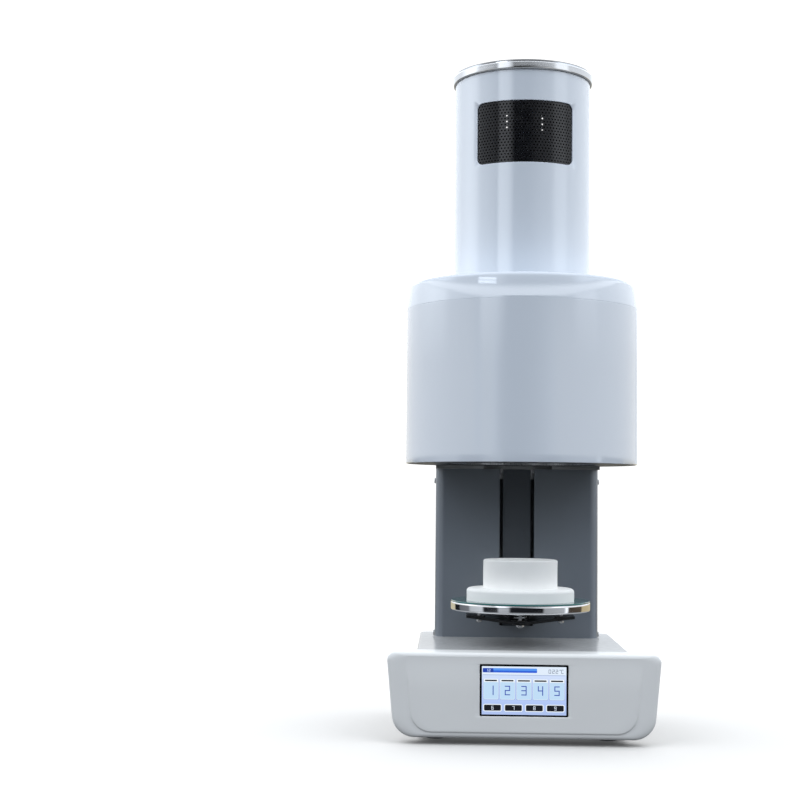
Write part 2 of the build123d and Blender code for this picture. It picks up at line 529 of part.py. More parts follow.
# ---------------------------------------------------------------------------
# lift table with its floating plate and fibre plinth
# ---------------------------------------------------------------------------
plate = spin([(0, PLATE_Z0), (PLATE_R - 2.2, PLATE_Z0), (PLATE_R - 0.7, PLATE_Z0 + 0.6), (PLATE_R, PLATE_Z0 + 2.0),
              (PLATE_R, PLATE_Z1 - 1.2), (PLATE_R - 0.8, PLATE_Z1), (0, PLATE_Z1)])
plate -= cz(2.53, PLATE_Z0 - 1, PLATE_Z0 + 5, 0, 0)
for sx in (-1, 1):
    plate -= cz(1.83, PLATE_Z0 - 1, PLATE_Z0 + 5, sx * STUD_X, 0)
keep("table_plate", plate)
seal = spin([(SEAL_RI, PLATE_Z1 + 0.01), (SEAL_RO, PLATE_Z1 + 0.01), (SEAL_RO, SEAL_Z1 - 0.5), (SEAL_RO - 0.5, SEAL_Z1),
             (SEAL_RI + 0.4, SEAL_Z1), (SEAL_RI, SEAL_Z1 - 0.4)])
keep("table_seal", seal)
stud = cz(2.5, 124.7, PLATE_Z0 + 4.8, 0, 0)
studs = [stud] + [cz(1.8, 130.0, PLATE_Z0 + 4.8, sx * STUD_X, 0) for sx in (-1, 1)]
keep("table_studs", group([chamfer(s.edges(), 0.4) for s in studs]))
acorn = hexagon_z(8, 124.9, ARM_Z0 - 0.3, 0, 0) + Pos(0, 0, 125.9) * (Sphere(3.2) - Pos(0, 0, 10.2) * Box(30, 30, 20))
acorn -= cz(2.53, 124.6, 130, 0, 0)
nuts = [one(acorn)]
for sx in (-1, 1):
    nuts.append(hexagon_z(5.5, 130.7, 132.9, sx * STUD_X, 0) - cz(1.83, 120, 140, sx * STUD_X, 0))
    nuts.append(hexagon_z(10, 141.6, PLATE_Z0 - 0.02, sx * STUD_X, 0) - cz(1.83, 140, 150, sx * STUD_X, 0))
keep("table_nuts", group(nuts))

p1 = cz(PLINTH_R1, PLATE_Z1 + 0.01, PLINTH_Z1)
p1 = fillet(p1.edges().filter_by(GeomType.CIRCLE).sort_by(Axis.Z)[-1:], 4)
keep("plinth_base", p1)
p2 = cz(PLINTH_R2, PLINTH_Z1 + 0.01, PLINTH_Z2)
p2 = fillet(p2.edges().filter_by(GeomType.CIRCLE).sort_by(Axis.Z)[-1:], 2)
p2 -= cz(35.0, PLINTH_Z2 - 3, PLINTH_Z2 + 1)
keep("plinth_top", p2)

# ---------------------------------------------------------------------------
# muffle
# ---------------------------------------------------------------------------
mbp = cz(136.4, 319.22, 324.2) - cz(90.0, 300, 340)
mbp -= cz(PIPE_R + 1.0, 300, 340, PX, PY)
for sx in (-1, 1):
    mbp -= cz(2.6, 300, 340, sx * 78, 114)
for k in range(16):
    a = math.radians(11.25 + 22.5 * k)
    if not (30 < math.degrees(a) < 150):
        mbp -= cz(4.0, 300, 340, 124 * math.cos(a), 124 * math.sin(a))
keep("muffle_base_plate", mbp)
ms = spin([(HOUSE_R - HOUSE_T, HOUSE_Z0), (HOUSE_R - 0.6, HOUSE_Z0), (HOUSE_R, HOUSE_Z0 + 0.8), (HOUSE_R, SEAM_Z - 0.5),
           (HOUSE_R - 0.5, SEAM_Z), (HOUSE_R - HOUSE_T, SEAM_Z)])
keep("muffle_shell", ms)

# shoulder cover: drafted skirt, tight corner, gentle cone up to a flat seat for the tower
def shoulder_pts(off):
    out = []
    r, z = HOUSE_R, SEAM_Z + 0.9
    for k in range(8):
        e = math.radians(5.0 + 4.4 * (k / 7) ** 1.6)
        out.append((r - off * math.cos(e), z - off * math.sin(e)))
        r -= 4.0 * math.tan(e)
        z += 4.0
    r, z = r + 4.0 * math.tan(e), z - 4.0
    e0, rc = math.radians(9.4), 8.0
    for k in range(1, 7):
        e = e0 + (math.radians(83) - e0) * k / 6
        out.append((r - rc * (math.cos(e0) - math.cos(e)) - off * math.cos(e), z + rc * (math.sin(e) - math.sin(e0)) - off * math.sin(e)))
    out.append((84.0, SHOULDER_Z - off))
    return out


so = shoulder_pts(0.0)
si = shoulder_pts(HOUSE_T)
prof = [(HOUSE_R - HOUSE_T, SEAM_Z + 0.4), (HOUSE_R - 0.5, SEAM_Z + 0.4)] + so + [(72.0, SHOULDER_Z), (72.0, SHOULDER_Z - HOUSE_T)] + list(reversed(si))
sc = spin(prof)
sc += spin([(HOUSE_R - HOUSE_T - 1.5, SEAM_Z - 8), (HOUSE_R - HOUSE_T - 0.05, SEAM_Z - 8), (HOUSE_R - HOUSE_T - 0.05, SEAM_Z + 0.4), (HOUSE_R - 0.8, SEAM_Z + 0.4), (HOUSE_R - 0.9, SEAM_Z + 2), (HOUSE_R - HOUSE_T - 1.5, SEAM_Z + 2)])
keep("shoulder_cover", one(sc))

sf = spin([(68.0, FLANGE_Z), (89.5, FLANGE_Z), (89.5, 324.22), (112.0, 324.22), (112.0, 329.0), (68.0, 329.0)])
keep("sealing_flange", sf)
bell = spin([(BELL_R - 2, 329.02), (112.0, 329.02), (112.0, 332.0), (BELL_R, 332.0), (BELL_R, 480.0), (BELL_R - 3, 485.0), (0, 485.0),
             (0, 482.5), (BELL_R - 4, 482.5), (BELL_R - 2, 479.5)])
bell -= cz(3.06, 470, 490)
TERM_X = 51.9
for sx in (-1, 1):
    bell -= cz(5.05, 470, 490, sx * TERM_X, 0)
keep("vacuum_bell", bell)
INS_R = BELL_R - 2.4                                   # stacked fibre blocks: mouth, ledge, wall, roof
roof = cz(INS_R, 432.02, 479.0) - cz(3.1, 430, 490)
for sx in (-1, 1):
    roof -= cz(1.7, 430, 490, sx * TERM_X, 0)
keep("chamber_insulation", group([tube(INS_R, 67.5, 329.05, 336.0), tube(INS_R, 48.5, 336.02, 339.0),
                                  tube(INS_R, 53.5, 339.02, 432.0), roof]))
keep("quartz_tube", tube(50.0, CHAMBER_R, 339.02, 431.0))
keep("heating_coil", coil(51.9, 0.9, 10.0, 80.0, 0, 0, 345.0))
tc = cz(3.0, 414, 500) + cz(9.0, 485.05, 499) + cz(12.0, 499, 512)
tc = fillet(tc.edges().filter_by(GeomType.CIRCLE).sort_by(Axis.Z)[-1:], 1.5)
keep("thermocouple", tc)
term = []
for sx in (-1, 1):
    t = cz(1.5, 427.5, 501, sx * TERM_X, 0) + cz(5.0, 480.5, 500, sx * TERM_X, 0) + cz(8.0, 485.05, 488, sx * TERM_X, 0)
    t += cz(2.5, 499, 512, sx * TERM_X, 0)
    t += hexagon_z(9, 502, 506, sx * TERM_X, 0)
    term.append(t)
keep("heater_terminals", group(term))

# ---------------------------------------------------------------------------
# tower
# ---------------------------------------------------------------------------
tw = tube(TOWER_R, TOWER_R - TOWER_T, SHOULDER_Z + 0.02, TOWER_Z1)
tw += tube(TOWER_R - 0.5, 74.0, SHOULDER_Z + 0.02, SHOULDER_Z + 1.6)
half_w = TOWER_R * math.sin(math.radians(WIN_HALF_DEG))
win = Pos(0, 0, (WIN_Z0 + WIN_Z1) / 2) * Rot(90, 0, 0) * extrude(RectangleRounded(2 * half_w, WIN_Z1 - WIN_Z0, WIN_R), 100, both=True)
tw -= win & bx(-120, 120, -120, 0, WIN_Z0 - 20, WIN_Z1 + 20)
for xs in AIR_SLOTS:
    tw -= bx(xs - 1.7, xs + 1.7, 60, 100, 746, 767)
keep("tower_shell", one(drill(tw)))
grille = tube(TOWER_R - TOWER_T - 0.1, TOWER_R - TOWER_T - 1.1, WIN_Z0 - 9, WIN_Z1 + 9)
gw = (TOWER_R - TOWER_T) * math.sin(math.radians(WIN_HALF_DEG)) + 6
keep("front_grille", one(grille & bx(-gw, gw, -120, 0, WIN_Z0 - 20, WIN_Z1 + 20)))
cap = spin([(0, 788.6), (78.0, 788.6), (80.0, 790.2), (82.3, 791.4), (83.2, Z_TOTAL), (84.0, Z_TOTAL - 0.4), (CAP_R, Z_TOTAL - 1.4), (CAP_R, CAP_Z0 + 1.0),
            (CAP_R - 0.6, CAP_Z0), (TOWER_R + 0.2, CAP_Z0), (TOWER_R + 0.2, TOWER_Z1 + 0.2), (79.0, TOWER_Z1 + 0.1), (78.0, 787.4), (0, 787.4)])
keep("top_cap", cap)

fb = cz(TOWER_R - TOWER_T - 0.3, FAN_Z0 - 2, FAN_Z0) - cz(43.8, 590, 610)
for k in range(4):
    a = 90 * k
    fb -= Rot(0, 0, a) * bx(50, 72, -26, 26, 590, 610)
for k in range(4):
    fb += Rot(0, 0, 45 + 90 * k) * bx(TOWER_R - TOWER_T - 3.5, TOWER_R - TOWER_T - 2.3, -8, 8, FAN_Z0 - 12, FAN_Z0 - 1)
keep("fan_bracket", one(fb))
ff = prism_z(FAN_W, FAN_W, 4, FAN_Z0 + 0.02, FAN_Z0 + 25) - cz(43.8, 590, 640)
ff -= tube(70, 45.6, FAN_Z0 + 4, FAN_Z0 + 21)
ff += cz(19.0, FAN_Z0 + 0.02, FAN_Z0 + 3)
for k in range(4):
    ff += Rot(0, 0, 45 + 90 * k) * bx(15, 46, -2, 2, FAN_Z0 + 0.02, FAN_Z0 + 3)
ff += cz(3.0, FAN_Z0 + 1, FAN_Z0 + 12)
for sx in (-1, 1):
    for sy in (-1, 1):
        ff -= cz(2.2, 590, 640, sx * 41.25, sy * 41.25)
keep("fan_frame", one(ff))
rot = cz(18.5, FAN_Z0 + 4, FAN_Z0 + 22)
rot = fillet(rot.edges().filter_by(GeomType.CIRCLE).sort_by(Axis.Z)[-1:], 2)
for k in range(7):
    blade = Pos(29.5, 0, FAN_Z0 + 13) * Rot(38, 0, 0) * Box(26, 21, 1.6)
    rot += Rot(0, 0, 360 / 7 * k) * blade
rot = rot & cz(42.8, FAN_Z0 + 3.5, FAN_Z0 + 24)
rot -= cz(3.05, FAN_Z0, FAN_Z0 + 12.3)
keep("fan_rotor", one(rot))

# ---------------------------------------------------------------------------
shift = Pos(0, Y_AXIS, 0)
for name, shape in PARTS.items():
    export_step(shift * shape, f"parts/{name}.step")
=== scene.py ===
import bpy
import bmesh
import json
import math
import random
from mathutils import Matrix, Vector


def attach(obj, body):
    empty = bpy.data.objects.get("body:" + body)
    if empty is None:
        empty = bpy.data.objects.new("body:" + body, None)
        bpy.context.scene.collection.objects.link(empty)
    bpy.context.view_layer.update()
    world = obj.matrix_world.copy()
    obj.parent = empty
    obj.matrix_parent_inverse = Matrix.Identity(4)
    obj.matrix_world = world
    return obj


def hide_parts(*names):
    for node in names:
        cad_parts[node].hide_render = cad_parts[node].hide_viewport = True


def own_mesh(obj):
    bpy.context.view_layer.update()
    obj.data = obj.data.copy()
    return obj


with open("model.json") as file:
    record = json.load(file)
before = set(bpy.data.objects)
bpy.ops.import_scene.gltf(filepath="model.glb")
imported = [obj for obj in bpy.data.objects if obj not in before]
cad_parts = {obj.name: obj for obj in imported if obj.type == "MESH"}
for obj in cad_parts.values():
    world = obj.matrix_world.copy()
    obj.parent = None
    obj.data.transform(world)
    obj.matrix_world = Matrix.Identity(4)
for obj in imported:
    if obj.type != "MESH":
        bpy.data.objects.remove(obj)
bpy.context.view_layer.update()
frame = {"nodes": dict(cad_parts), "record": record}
NODES = frame["nodes"]
random.seed(7)

MM = 0.001
AX = -23.75            # furnace axis, mm, along Y


def P(x, y, z):
    """Point given in millimetres about the furnace axis."""
    return Vector((x * MM, (y + AX) * MM, z * MM))


# ---------------------------------------------------------------------------
# materials
# ---------------------------------------------------------------------------
def lin(c):
    """sRGB 0-255 to linear."""
    out = []
    for v in c:
        v = v / 255.0
        out.append(v / 12.92 if v <= 0.04045 else ((v + 0.055) / 1.055) ** 2.4)
    return out


class Mat:
    def __init__(self, name):
        self.m = bpy.data.materials.new(name)
        self.m.use_nodes = True
        self.nt = self.m.node_tree
        self.nt.nodes.clear()
        self.out = self.nt.nodes.new("ShaderNodeOutputMaterial")
        self.b = self.nt.nodes.new("ShaderNodeBsdfPrincipled")
        self.nt.links.new(self.b.outputs[0], self.out.inputs[0])
        self.tc = self.nt.nodes.new("ShaderNodeTexCoord")

    def node(self, kind, **kw):
        n = self.nt.nodes.new(kind)
        for k, v in kw.items():
            setattr(n, k, v)
        return n

    def link(self, a, b):
        self.nt.links.new(a, b)

    def mapping(self, scale=(1, 1, 1), rot=(0, 0, 0), loc=(0, 0, 0)):
        m = self.node("ShaderNodeMapping")
        m.inputs["Scale"].default_value = scale
        m.inputs["Rotation"].default_value = rot
        m.inputs["Location"].default_value = loc
        self.link(self.tc.outputs["Object"], m.inputs["Vector"])
        return m.outputs["Vector"]

    def noise(self, scale, detail=4.0, rough=0.55, vec=None):
        n = self.node("ShaderNodeTexNoise")
        n.inputs["Scale"].default_value = scale
        n.inputs["Detail"].default_value = detail
        n.inputs["Roughness"].default_value = rough
        self.link(vec or self.tc.outputs["Object"], n.inputs["Vector"])
        return n.outputs["Fac"]

    def ramp(self, fac, stops, interp="LINEAR"):
        r = self.node("ShaderNodeValToRGB")
        r.color_ramp.interpolation = interp
        els = r.color_ramp.elements
        while len(els) > 1:
            els.remove(els[-1])
        els[0].position = stops[0][0]
        els[0].color = tuple(stops[0][1]) + (1,) if len(stops[0][1]) == 3 else stops[0][1]
        for pos, col in stops[1:]:
            e = els.new(pos)
            e.color = tuple(col) + (1,) if len(col) == 3 else col
        self.link(fac, r.inputs["Fac"])
        return r.outputs["Color"]

    def remap(self, fac, lo, hi, a=0.3, b=0.7):
        n = self.node("ShaderNodeMapRange")
        n.inputs["From Min"].default_value = a
        n.inputs["From Max"].default_value = b
        n.inputs["To Min"].default_value = lo
        n.inputs["To Max"].default_value = hi
        self.link(fac, n.inputs["Value"])
        return n.outputs["Result"]

    def math(self, op, a, b=None):
        n = self.node("ShaderNodeMath", operation=op)
        for i, v in enumerate((a, b)):
            if v is None:
                continue
            if isinstance(v, (int, float)):
                n.inputs[i].default_value = v
            else:
                self.link(v, n.inputs[i])
        return n.outputs[0]

    def mix(self, fac, a, b, mode="MIX"):
        n = self.node("ShaderNodeMix", data_type="RGBA", blend_type=mode)
        for sock, v in (("Factor", fac), ("A", a), ("B", b)):
            s = [i for i in n.inputs if i.name == sock and (i.type == "RGBA" or sock == "Factor") and i.enabled]
            s = s[0]
            if isinstance(v, (int, float)):
                s.default_value = v
            elif isinstance(v, (tuple, list)):
                s.default_value = tuple(v) + (1,) if len(v) == 3 else tuple(v)
            else:
                self.link(v, s)
        return [o for o in n.outputs if o.type == "RGBA"][0]

    def bump(self, height, strength, distance):
        n = self.node("ShaderNodeBump")
        n.inputs["Strength"].default_value = strength
        n.inputs["Distance"].default_value = distance
        self.link(height, n.inputs["Height"])
        self.link(n.outputs["Normal"], self.b.inputs["Normal"])
        return n

    def set(self, **kw):
        for k, v in kw.items():
            self.b.inputs[k.replace("_", " ")].default_value = v
        return self


def painted(name, col, rough=0.32, spec=0.5, coat=0.0, coat_ior=1.5, var=0.03, peel=0.06, grain=900.0, rvar=0.06, coat_rough=0.08, dirt=0.0, scuffs=(120, 120, 90)):
    """Sprayed enamel: faint orange peel, slow tone drift, slightly uneven gloss, fine scuffs."""
    m = Mat(name)
    c = Vector(col)
    slow = m.noise(9.0, 3.0)
    colr = m.ramp(slow, [(0.25, tuple(c * (1 - var))), (0.75, tuple(c * (1 + var * 0.6)))])
    if dirt:
        spots = m.noise(60.0, 6.0, 0.65)
        mask = m.remap(spots, 0.0, dirt, 0.56, 0.75)
        colr = m.mix(mask, colr, tuple(c * 0.55))
    m.link(colr, m.b.inputs["Base Color"])
    scuff = m.noise(1.0, 4.0, 0.6, m.mapping(scuffs, (0.3, 0.1, 0.5)))
    r = m.remap(scuff, rough - rvar, rough + rvar, 0.3, 0.7)
    m.link(r, m.b.inputs["Roughness"])
    peeln = m.noise(grain, 2.0, 0.5)
    m.bump(peeln, peel, 0.0004)
    m.set(Metallic=0.0, Specular_IOR_Level=spec, Coat_Weight=coat, Coat_Roughness=coat_rough, Coat_IOR=coat_ior)
    return m.m


def plastic(name, col, rough=0.4, spec=0.5, grain=2600.0, tex=0.12, var=0.04, rvar=0.05, coat=0.0):
    m = Mat(name)
    c = Vector(col)
    slow = m.noise(14.0, 3.0)
    colr = m.ramp(slow, [(0.25, tuple(c * (1 - var))), (0.75, tuple(c * (1 + var)))])
    m.link(colr, m.b.inputs["Base Color"])
    rn = m.noise(50.0, 5.0, 0.65)
    m.link(m.remap(rn, rough - rvar, rough + rvar), m.b.inputs["Roughness"])
    g = m.noise(grain, 2.0, 0.6)
    m.bump(g, tex, 0.0003)
    m.set(Metallic=0.0, Specular_IOR_Level=spec, Coat_Weight=coat, Coat_Roughness=0.06)
    return m.m


def metal(name, col, rough=0.28, brush=None, var=0.06, rvar=0.08, bump=0.04, stain=0.0, aniso=0.0):
    """Machined or drawn metal: brushing stretched along one axis, tone drift, small marks."""
    m = Mat(name)
    c = Vector(col)
    vec = m.mapping(brush) if brush else m.mapping((300, 300, 300))
    fine = m.noise(1.0, 6.0, 0.7, vec)
    slow = m.noise(25.0, 4.0)
    tone = m.ramp(slow, [(0.3, tuple(c * (1 - var))), (0.7, tuple(c * (1 + var * 0.5)))])
    streak = m.ramp(fine, [(0.3, (0.86, 0.86, 0.86)), (0.7, (1, 1, 1))])
    colr = m.mix(1.0, tone, streak, "MULTIPLY")
    if stain:
        s = m.noise(70.0, 6.0, 0.7)
        colr = m.mix(m.remap(s, 0.0, stain, 0.55, 0.72), colr, tuple(c * 0.45))
    m.link(colr, m.b.inputs["Base Color"])
    m.link(m.remap(fine, rough - rvar, rough + rvar), m.b.inputs["Roughness"])
    m.bump(fine, bump, 0.0003)
    m.set(Metallic=1.0, Anisotropic=aniso)
    return m.m


def emissive(name, rgb, strength=1.0, rough=0.25, var=0.02):
    """Lit pixels of the screen: a flat colour with a faint pixel-scale ripple, seen through gloss."""
    m = Mat(name)
    c = Vector(lin(rgb))
    n = m.noise(900.0, 1.0)
    colr = m.ramp(n, [(0.3, tuple(c * (1 - var))), (0.7, tuple(c))])
    m.link(colr, m.b.inputs["Emission Color"])
    base = m.ramp(n, [(0.3, (0.012, 0.012, 0.014)), (0.7, (0.016, 0.016, 0.018))])
    m.link(base, m.b.inputs["Base Color"])
    m.link(m.remap(n, rough - 0.02, rough + 0.02), m.b.inputs["Roughness"])
    m.bump(n, 0.01, 0.0001)
    m.set(Emission_Strength=strength, Specular_IOR_Level=0.3)
    return m.m


M = {}
M["white_paint"] = painted("white_enamel", (0.70, 0.752, 0.826), rough=0.45, spec=0.3, coat=1.0, coat_ior=1.8, var=0.012, peel=0.012, grain=1100, rvar=0.03, coat_rough=0.05, scuffs=(60, 60, 60))
M["white_plastic"] = plastic("bezel_plastic", (0.82, 0.817, 0.806), rough=0.42, spec=0.4, grain=3000, tex=0.04, var=0.012, rvar=0.04, coat=0.3)
M["light_grey_paint"] = painted("base_enamel", (0.45, 0.45, 0.445), rough=0.20, spec=0.14, coat=0.0, var=0.02, peel=0.05, grain=900, rvar=0.04, coat_rough=0.05)
M["column_paint"] = painted("column_enamel", (0.185, 0.208, 0.240), rough=0.36, spec=0.5, coat=0.5, coat_ior=1.6, var=0.03, peel=0.06, grain=1300, rvar=0.04, coat_rough=0.16)
# painted shade: the slot plate's paint is darker than the column's to stand for the shade in its recessed channel
M["slot_paint"] = painted("slot_plate_painted_shade", (0.070, 0.080, 0.094), rough=0.42, spec=0.4, coat=0.15, var=0.05, peel=0.08, grain=1300, rvar=0.05, coat_rough=0.2)
M["dark_grey_paint"] = painted("housing_floor_enamel", (0.022, 0.023, 0.026), rough=0.45, var=0.06, peel=0.12, grain=1200)
M["black_paint"] = painted("black_enamel", (0.013, 0.014, 0.016), rough=0.34, var=0.10, peel=0.12, grain=1300, dirt=0.15)
M["chrome"] = metal("polished_chrome", (0.80, 0.81, 0.83), rough=0.07, brush=(30, 30, 900), var=0.02, rvar=0.02, bump=0.006)
M["steel"] = metal("machined_steel", (0.56, 0.57, 0.59), rough=0.30, brush=(900, 120, 120), var=0.08, stain=0.18)
M["spring_steel"] = metal("spring_wire", (0.62, 0.64, 0.66), rough=0.22, brush=(700, 700, 60), var=0.06, bump=0.03)
M["aluminium"] = metal("milled_aluminium", (0.72, 0.73, 0.75), rough=0.34, brush=(60, 900, 900), var=0.05, stain=0.08)
M["brass"] = metal("turned_brass", (0.72, 0.52, 0.24), rough=0.26, brush=(900, 40, 900), var=0.08, stain=0.22)
M["cap_chrome"] = metal("satin_rim", (0.52, 0.525, 0.535), rough=0.08, brush=(30, 30, 900), var=0.03, rvar=0.03, bump=0.01)
M["rubber"] = plastic("foot_rubber", (0.016, 0.016, 0.017), rough=0.72, spec=0.3, grain=1600, tex=0.35, var=0.15, rvar=0.08)
M["insulation"] = plastic("ceramic_fibre_block", (0.78, 0.76, 0.71), rough=0.92, spec=0.15, grain=700, tex=0.7, var=0.06)
M["element"] = metal("oxidised_resistance_wire", (0.22, 0.18, 0.15), rough=0.62, brush=(500, 500, 500), var=0.2, stain=0.4, bump=0.2)
M["alumina"] = plastic("glazed_alumina", (0.84, 0.81, 0.74), rough=0.28, spec=0.6, grain=500, tex=0.04, var=0.04, coat=0.3)
M["black_plastic"] = plastic("black_moulding", (0.018, 0.018, 0.020), rough=0.46, spec=0.45, grain=2200, tex=0.25, var=0.12)
M["screen_glass"] = plastic("screen_cover", (0.006, 0.006, 0.008), rough=0.10, spec=0.5, grain=80, tex=0.004, var=0.1, rvar=0.02)
M["perforated_black"] = painted("grille_enamel", (0.004, 0.0045, 0.006), rough=0.10, spec=0.36, var=0.08, peel=0.0, grain=1500)
M["zinc_screw"] = metal("zinc_plated_screw", (0.55, 0.56, 0.57), rough=0.33, brush=(400, 400, 400), var=0.10, stain=0.2)
M["rocker_plastic"] = plastic("rocker_gloss", (0.016, 0.016, 0.017), rough=0.2, spec=0.5, grain=900, tex=0.03, var=0.1)


def fibre_material():
    m = Mat("pressed_fibre_plinth")
    slow = m.noise(22.0, 4.0)
    base = m.ramp(slow, [(0.25, (0.90, 0.895, 0.875)), (0.75, (0.95, 0.945, 0.925))])
    scorch = m.noise(48.0, 6.0, 0.62)
    base = m.mix(m.remap(scorch, 0.0, 0.06, 0.60, 0.74), base, (0.72, 0.69, 0.63))
    m.link(base, m.b.inputs["Base Color"])
    fib = m.noise(1.0, 6.0, 0.75, m.mapping((420, 420, 1500)))
    m.link(m.remap(fib, 0.62, 0.80), m.b.inputs["Roughness"])
    m.bump(fib, 0.10, 0.0004)
    m.set(Specular_IOR_Level=0.25, Sheen_Weight=0.12)
    return m.m


M["fibre"] = fibre_material()


def seal_material():
    m = Mat("sealing_ring")
    n = m.noise(30.0, 4.0)
    base = m.ramp(n, [(0.25, (0.012, 0.105, 0.098)), (0.75, (0.022, 0.150, 0.140))])
    m.link(base, m.b.inputs["Base Color"])
    g = m.noise(500.0, 3.0)
    m.link(m.remap(g, 0.10, 0.22), m.b.inputs["Roughness"])
    m.bump(g, 0.03, 0.0002)
    m.set(Specular_IOR_Level=0.7, Coat_Weight=0.6, Coat_Roughness=0.05)
    return m.m


M["seal"] = seal_material()


def quartz_material():
    m = Mat("fused_quartz")
    n = m.noise(40.0, 4.0)
    base = m.ramp(n, [(0.3, (0.86, 0.88, 0.88)), (0.7, (0.94, 0.95, 0.95))])
    m.link(base, m.b.inputs["Base Color"])
    m.link(m.remap(n, 0.05, 0.14), m.b.inputs["Roughness"])
    m.bump(n, 0.02, 0.0003)
    m.set(Transmission_Weight=0.85, IOR=1.46)
    return m.m


M["quartz"] = quartz_material()


def board_material():
    m = Mat("solder_mask_board")
    v = m.node("ShaderNodeTexBrick")
    v.inputs["Scale"].default_value = 160.0
    v.inputs["Mortar Size"].default_value = 0.012
    v.inputs["Color1"].default_value = (0.010, 0.10, 0.045, 1)
    v.inputs["Color2"].default_value = (0.014, 0.12, 0.055, 1)
    v.inputs["Mortar"].default_value = (0.05, 0.24, 0.10, 1)
    m.link(m.mapping((1, 1, 1), (math.pi / 2, 0, 0)), v.inputs["Vector"])
    m.link(v.outputs["Color"], m.b.inputs["Base Color"])
    n = m.noise(200.0, 3.0)
    m.link(m.remap(n, 0.22, 0.36), m.b.inputs["Roughness"])
    m.bump(n, 0.05, 0.0002)
    m.set(Specular_IOR_Level=0.6)
    return m.m


M["circuit_board"] = board_material()


def thread_material():
    """Rolled trapezoidal thread: helical ridges in the bump of a plain shaft, with painted shade darkening the grooves.
    """
    m = Mat("rolled_thread")
    w = m.node("ShaderNodeTexWave", wave_type="BANDS", bands_direction="Z", wave_profile="TRI")
    w.inputs["Scale"].default_value = 80.0
    w.inputs["Distortion"].default_value = 0.0
    m.link(m.tc.outputs["Object"], w.inputs["Vector"])
    # painted shade: the colour follows the thread profile, darker towards the groove bottoms
    col = m.ramp(w.outputs["Fac"], [(0.1, (0.30, 0.30, 0.31)), (0.8, (0.66, 0.67, 0.69))])
    m.link(col, m.b.inputs["Base Color"])
    n = m.noise(300.0, 4.0)
    m.link(m.remap(n, 0.22, 0.4), m.b.inputs["Roughness"])
    m.bump(w.outputs["Fac"], 0.8, 0.0012)
    m.set(Metallic=1.0)
    return m.m


M["thread"] = thread_material()

SLOT = {s["node"]: s["material_slot"] for s in frame["record"]["subparts"]}
SMOOTH = math.radians(32)


def shade(o, angle=SMOOTH):
    me = o.data
    me.polygons.foreach_set("use_smooth", [True] * len(me.polygons))
    me.set_sharp_from_angle(angle=angle)
    me.update()


for n, o in NODES.items():
    o.data.materials.clear()
    o.data.materials.append(M[SLOT[n]])
NODES["lead_screw"].data.materials.clear()
NODES["lead_screw"].data.materials.append(M["thread"])
# the slot plate takes the darker paint that stands for the shade in its recess
NODES["slot_plate"].data.materials.clear()
NODES["slot_plate"].data.materials.append(M["slot_paint"])


# ---------------------------------------------------------------------------
# mesh helpers
# ---------------------------------------------------------------------------
def make(name, verts, faces, body, slot=None, nodes=(), mats=None, face_mats=None, angle=SMOOTH, fix=True):
    me = bpy.data.meshes.new(name)
    me.from_pydata([tuple(v) for v in verts], [], faces)
    me.validate()
    o = bpy.data.objects.new(name, me)
    bpy.context.scene.collection.objects.link(o)
    for mm in (mats or [M[slot]]):
        me.materials.append(mm)
    if face_mats:
        me.polygons.foreach_set("material_index", face_mats)
    if fix:
        bm = bmesh.new()
        bm.from_mesh(me)
        bmesh.ops.remove_doubles(bm, verts=bm.verts, dist=1e-7)
        bmesh.ops.recalc_face_normals(bm, faces=bm.faces)
        bm.to_mesh(me)
        bm.free()
    shade(o, angle)
    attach(o, body)
    if nodes:
        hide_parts(*nodes)
    return o


def arc2(cx, cz, r, a0, a1, n):
    """Arc points (r, z) from angle a0 to a1, degrees, centre included ends."""
    return [(cx + r * math.cos(math.radians(a0 + (a1 - a0) * k / n)), cz + r * math.sin(math.radians(a0 + (a1 - a0) * k / n))) for k in range(n + 1)]


def round_profile(pts, radii, n=5):
    """Rounds each corner of a closed (r, z) polygon by its own radius."""
    out = []
    c = len(pts)
    for i, p in enumerate(pts):
        r = radii[i] if isinstance(radii, (list, tuple)) else radii
        a, b = Vector(pts[i - 1]), Vector(pts[(i + 1) % c])
        p = Vector(p)
        if r <= 0:
            out.append(tuple(p))
            continue
        da, db = (a - p), (b - p)
        la, lb = da.length, db.length
        if la < 1e-9 or lb < 1e-9:
            out.append(tuple(p))
            continue
        da, db = da / la, db / lb
        ang = da.angle(db)
        if ang > math.radians(176):
            out.append(tuple(p))
            continue
        t = min(r / math.tan(ang / 2), 0.48 * la, 0.48 * lb)
        rr = t * math.tan(ang / 2)
        q0, q1 = p + da * t, p + db * t
        mid = (da + db).normalized()
        cen = p + mid * (rr / math.sin(ang / 2))
        v0, v1 = q0 - cen, q1 - cen
        tot = v0.angle_signed(v1)
        for k in range(n + 1):
            th = -tot * k / n
            cs, sn = math.cos(th), math.sin(th)
            out.append((cen.x + v0.x * cs - v0.y * sn, cen.y + v0.x * sn + v0.y * cs))
    return out


def lathe(name, prof, body, slot, nodes=(), segs=180, closed=True, angle=math.radians(30), mats=None, band=None, wob=None):
    """Surface of revolution about the furnace axis from (r, z) points in mm."""
    verts, faces, fm = [], [], []
    n = len(prof)
    for s in range(segs):
        a = 2 * math.pi * s / segs
        ca, sa = math.cos(a), math.sin(a)
        for (r, z) in prof:
            if wob:
                r, z = wob(a, r, z)
            verts.append(P(r * ca, r * sa, z))
    last = n if closed else n - 1
    for s in range(segs):
        s2 = (s + 1) % segs
        for i in range(last):
            j = (i + 1) % n
            q = [s * n + i, s2 * n + i, s2 * n + j, s * n + j]
            if prof[i][0] < 1e-6:
                q = [s * n + i, s2 * n + j, s * n + j]
            elif prof[j][0] < 1e-6:
                q = [s * n + i, s2 * n + i, s * n + j]
            if prof[i][0] < 1e-6 and prof[j][0] < 1e-6:
                continue
            faces.append(q)
            fm.append(band[i] if band else 0)
    return make(name, verts, faces, body, slot, nodes, mats=mats, face_mats=fm if band else None, angle=angle)


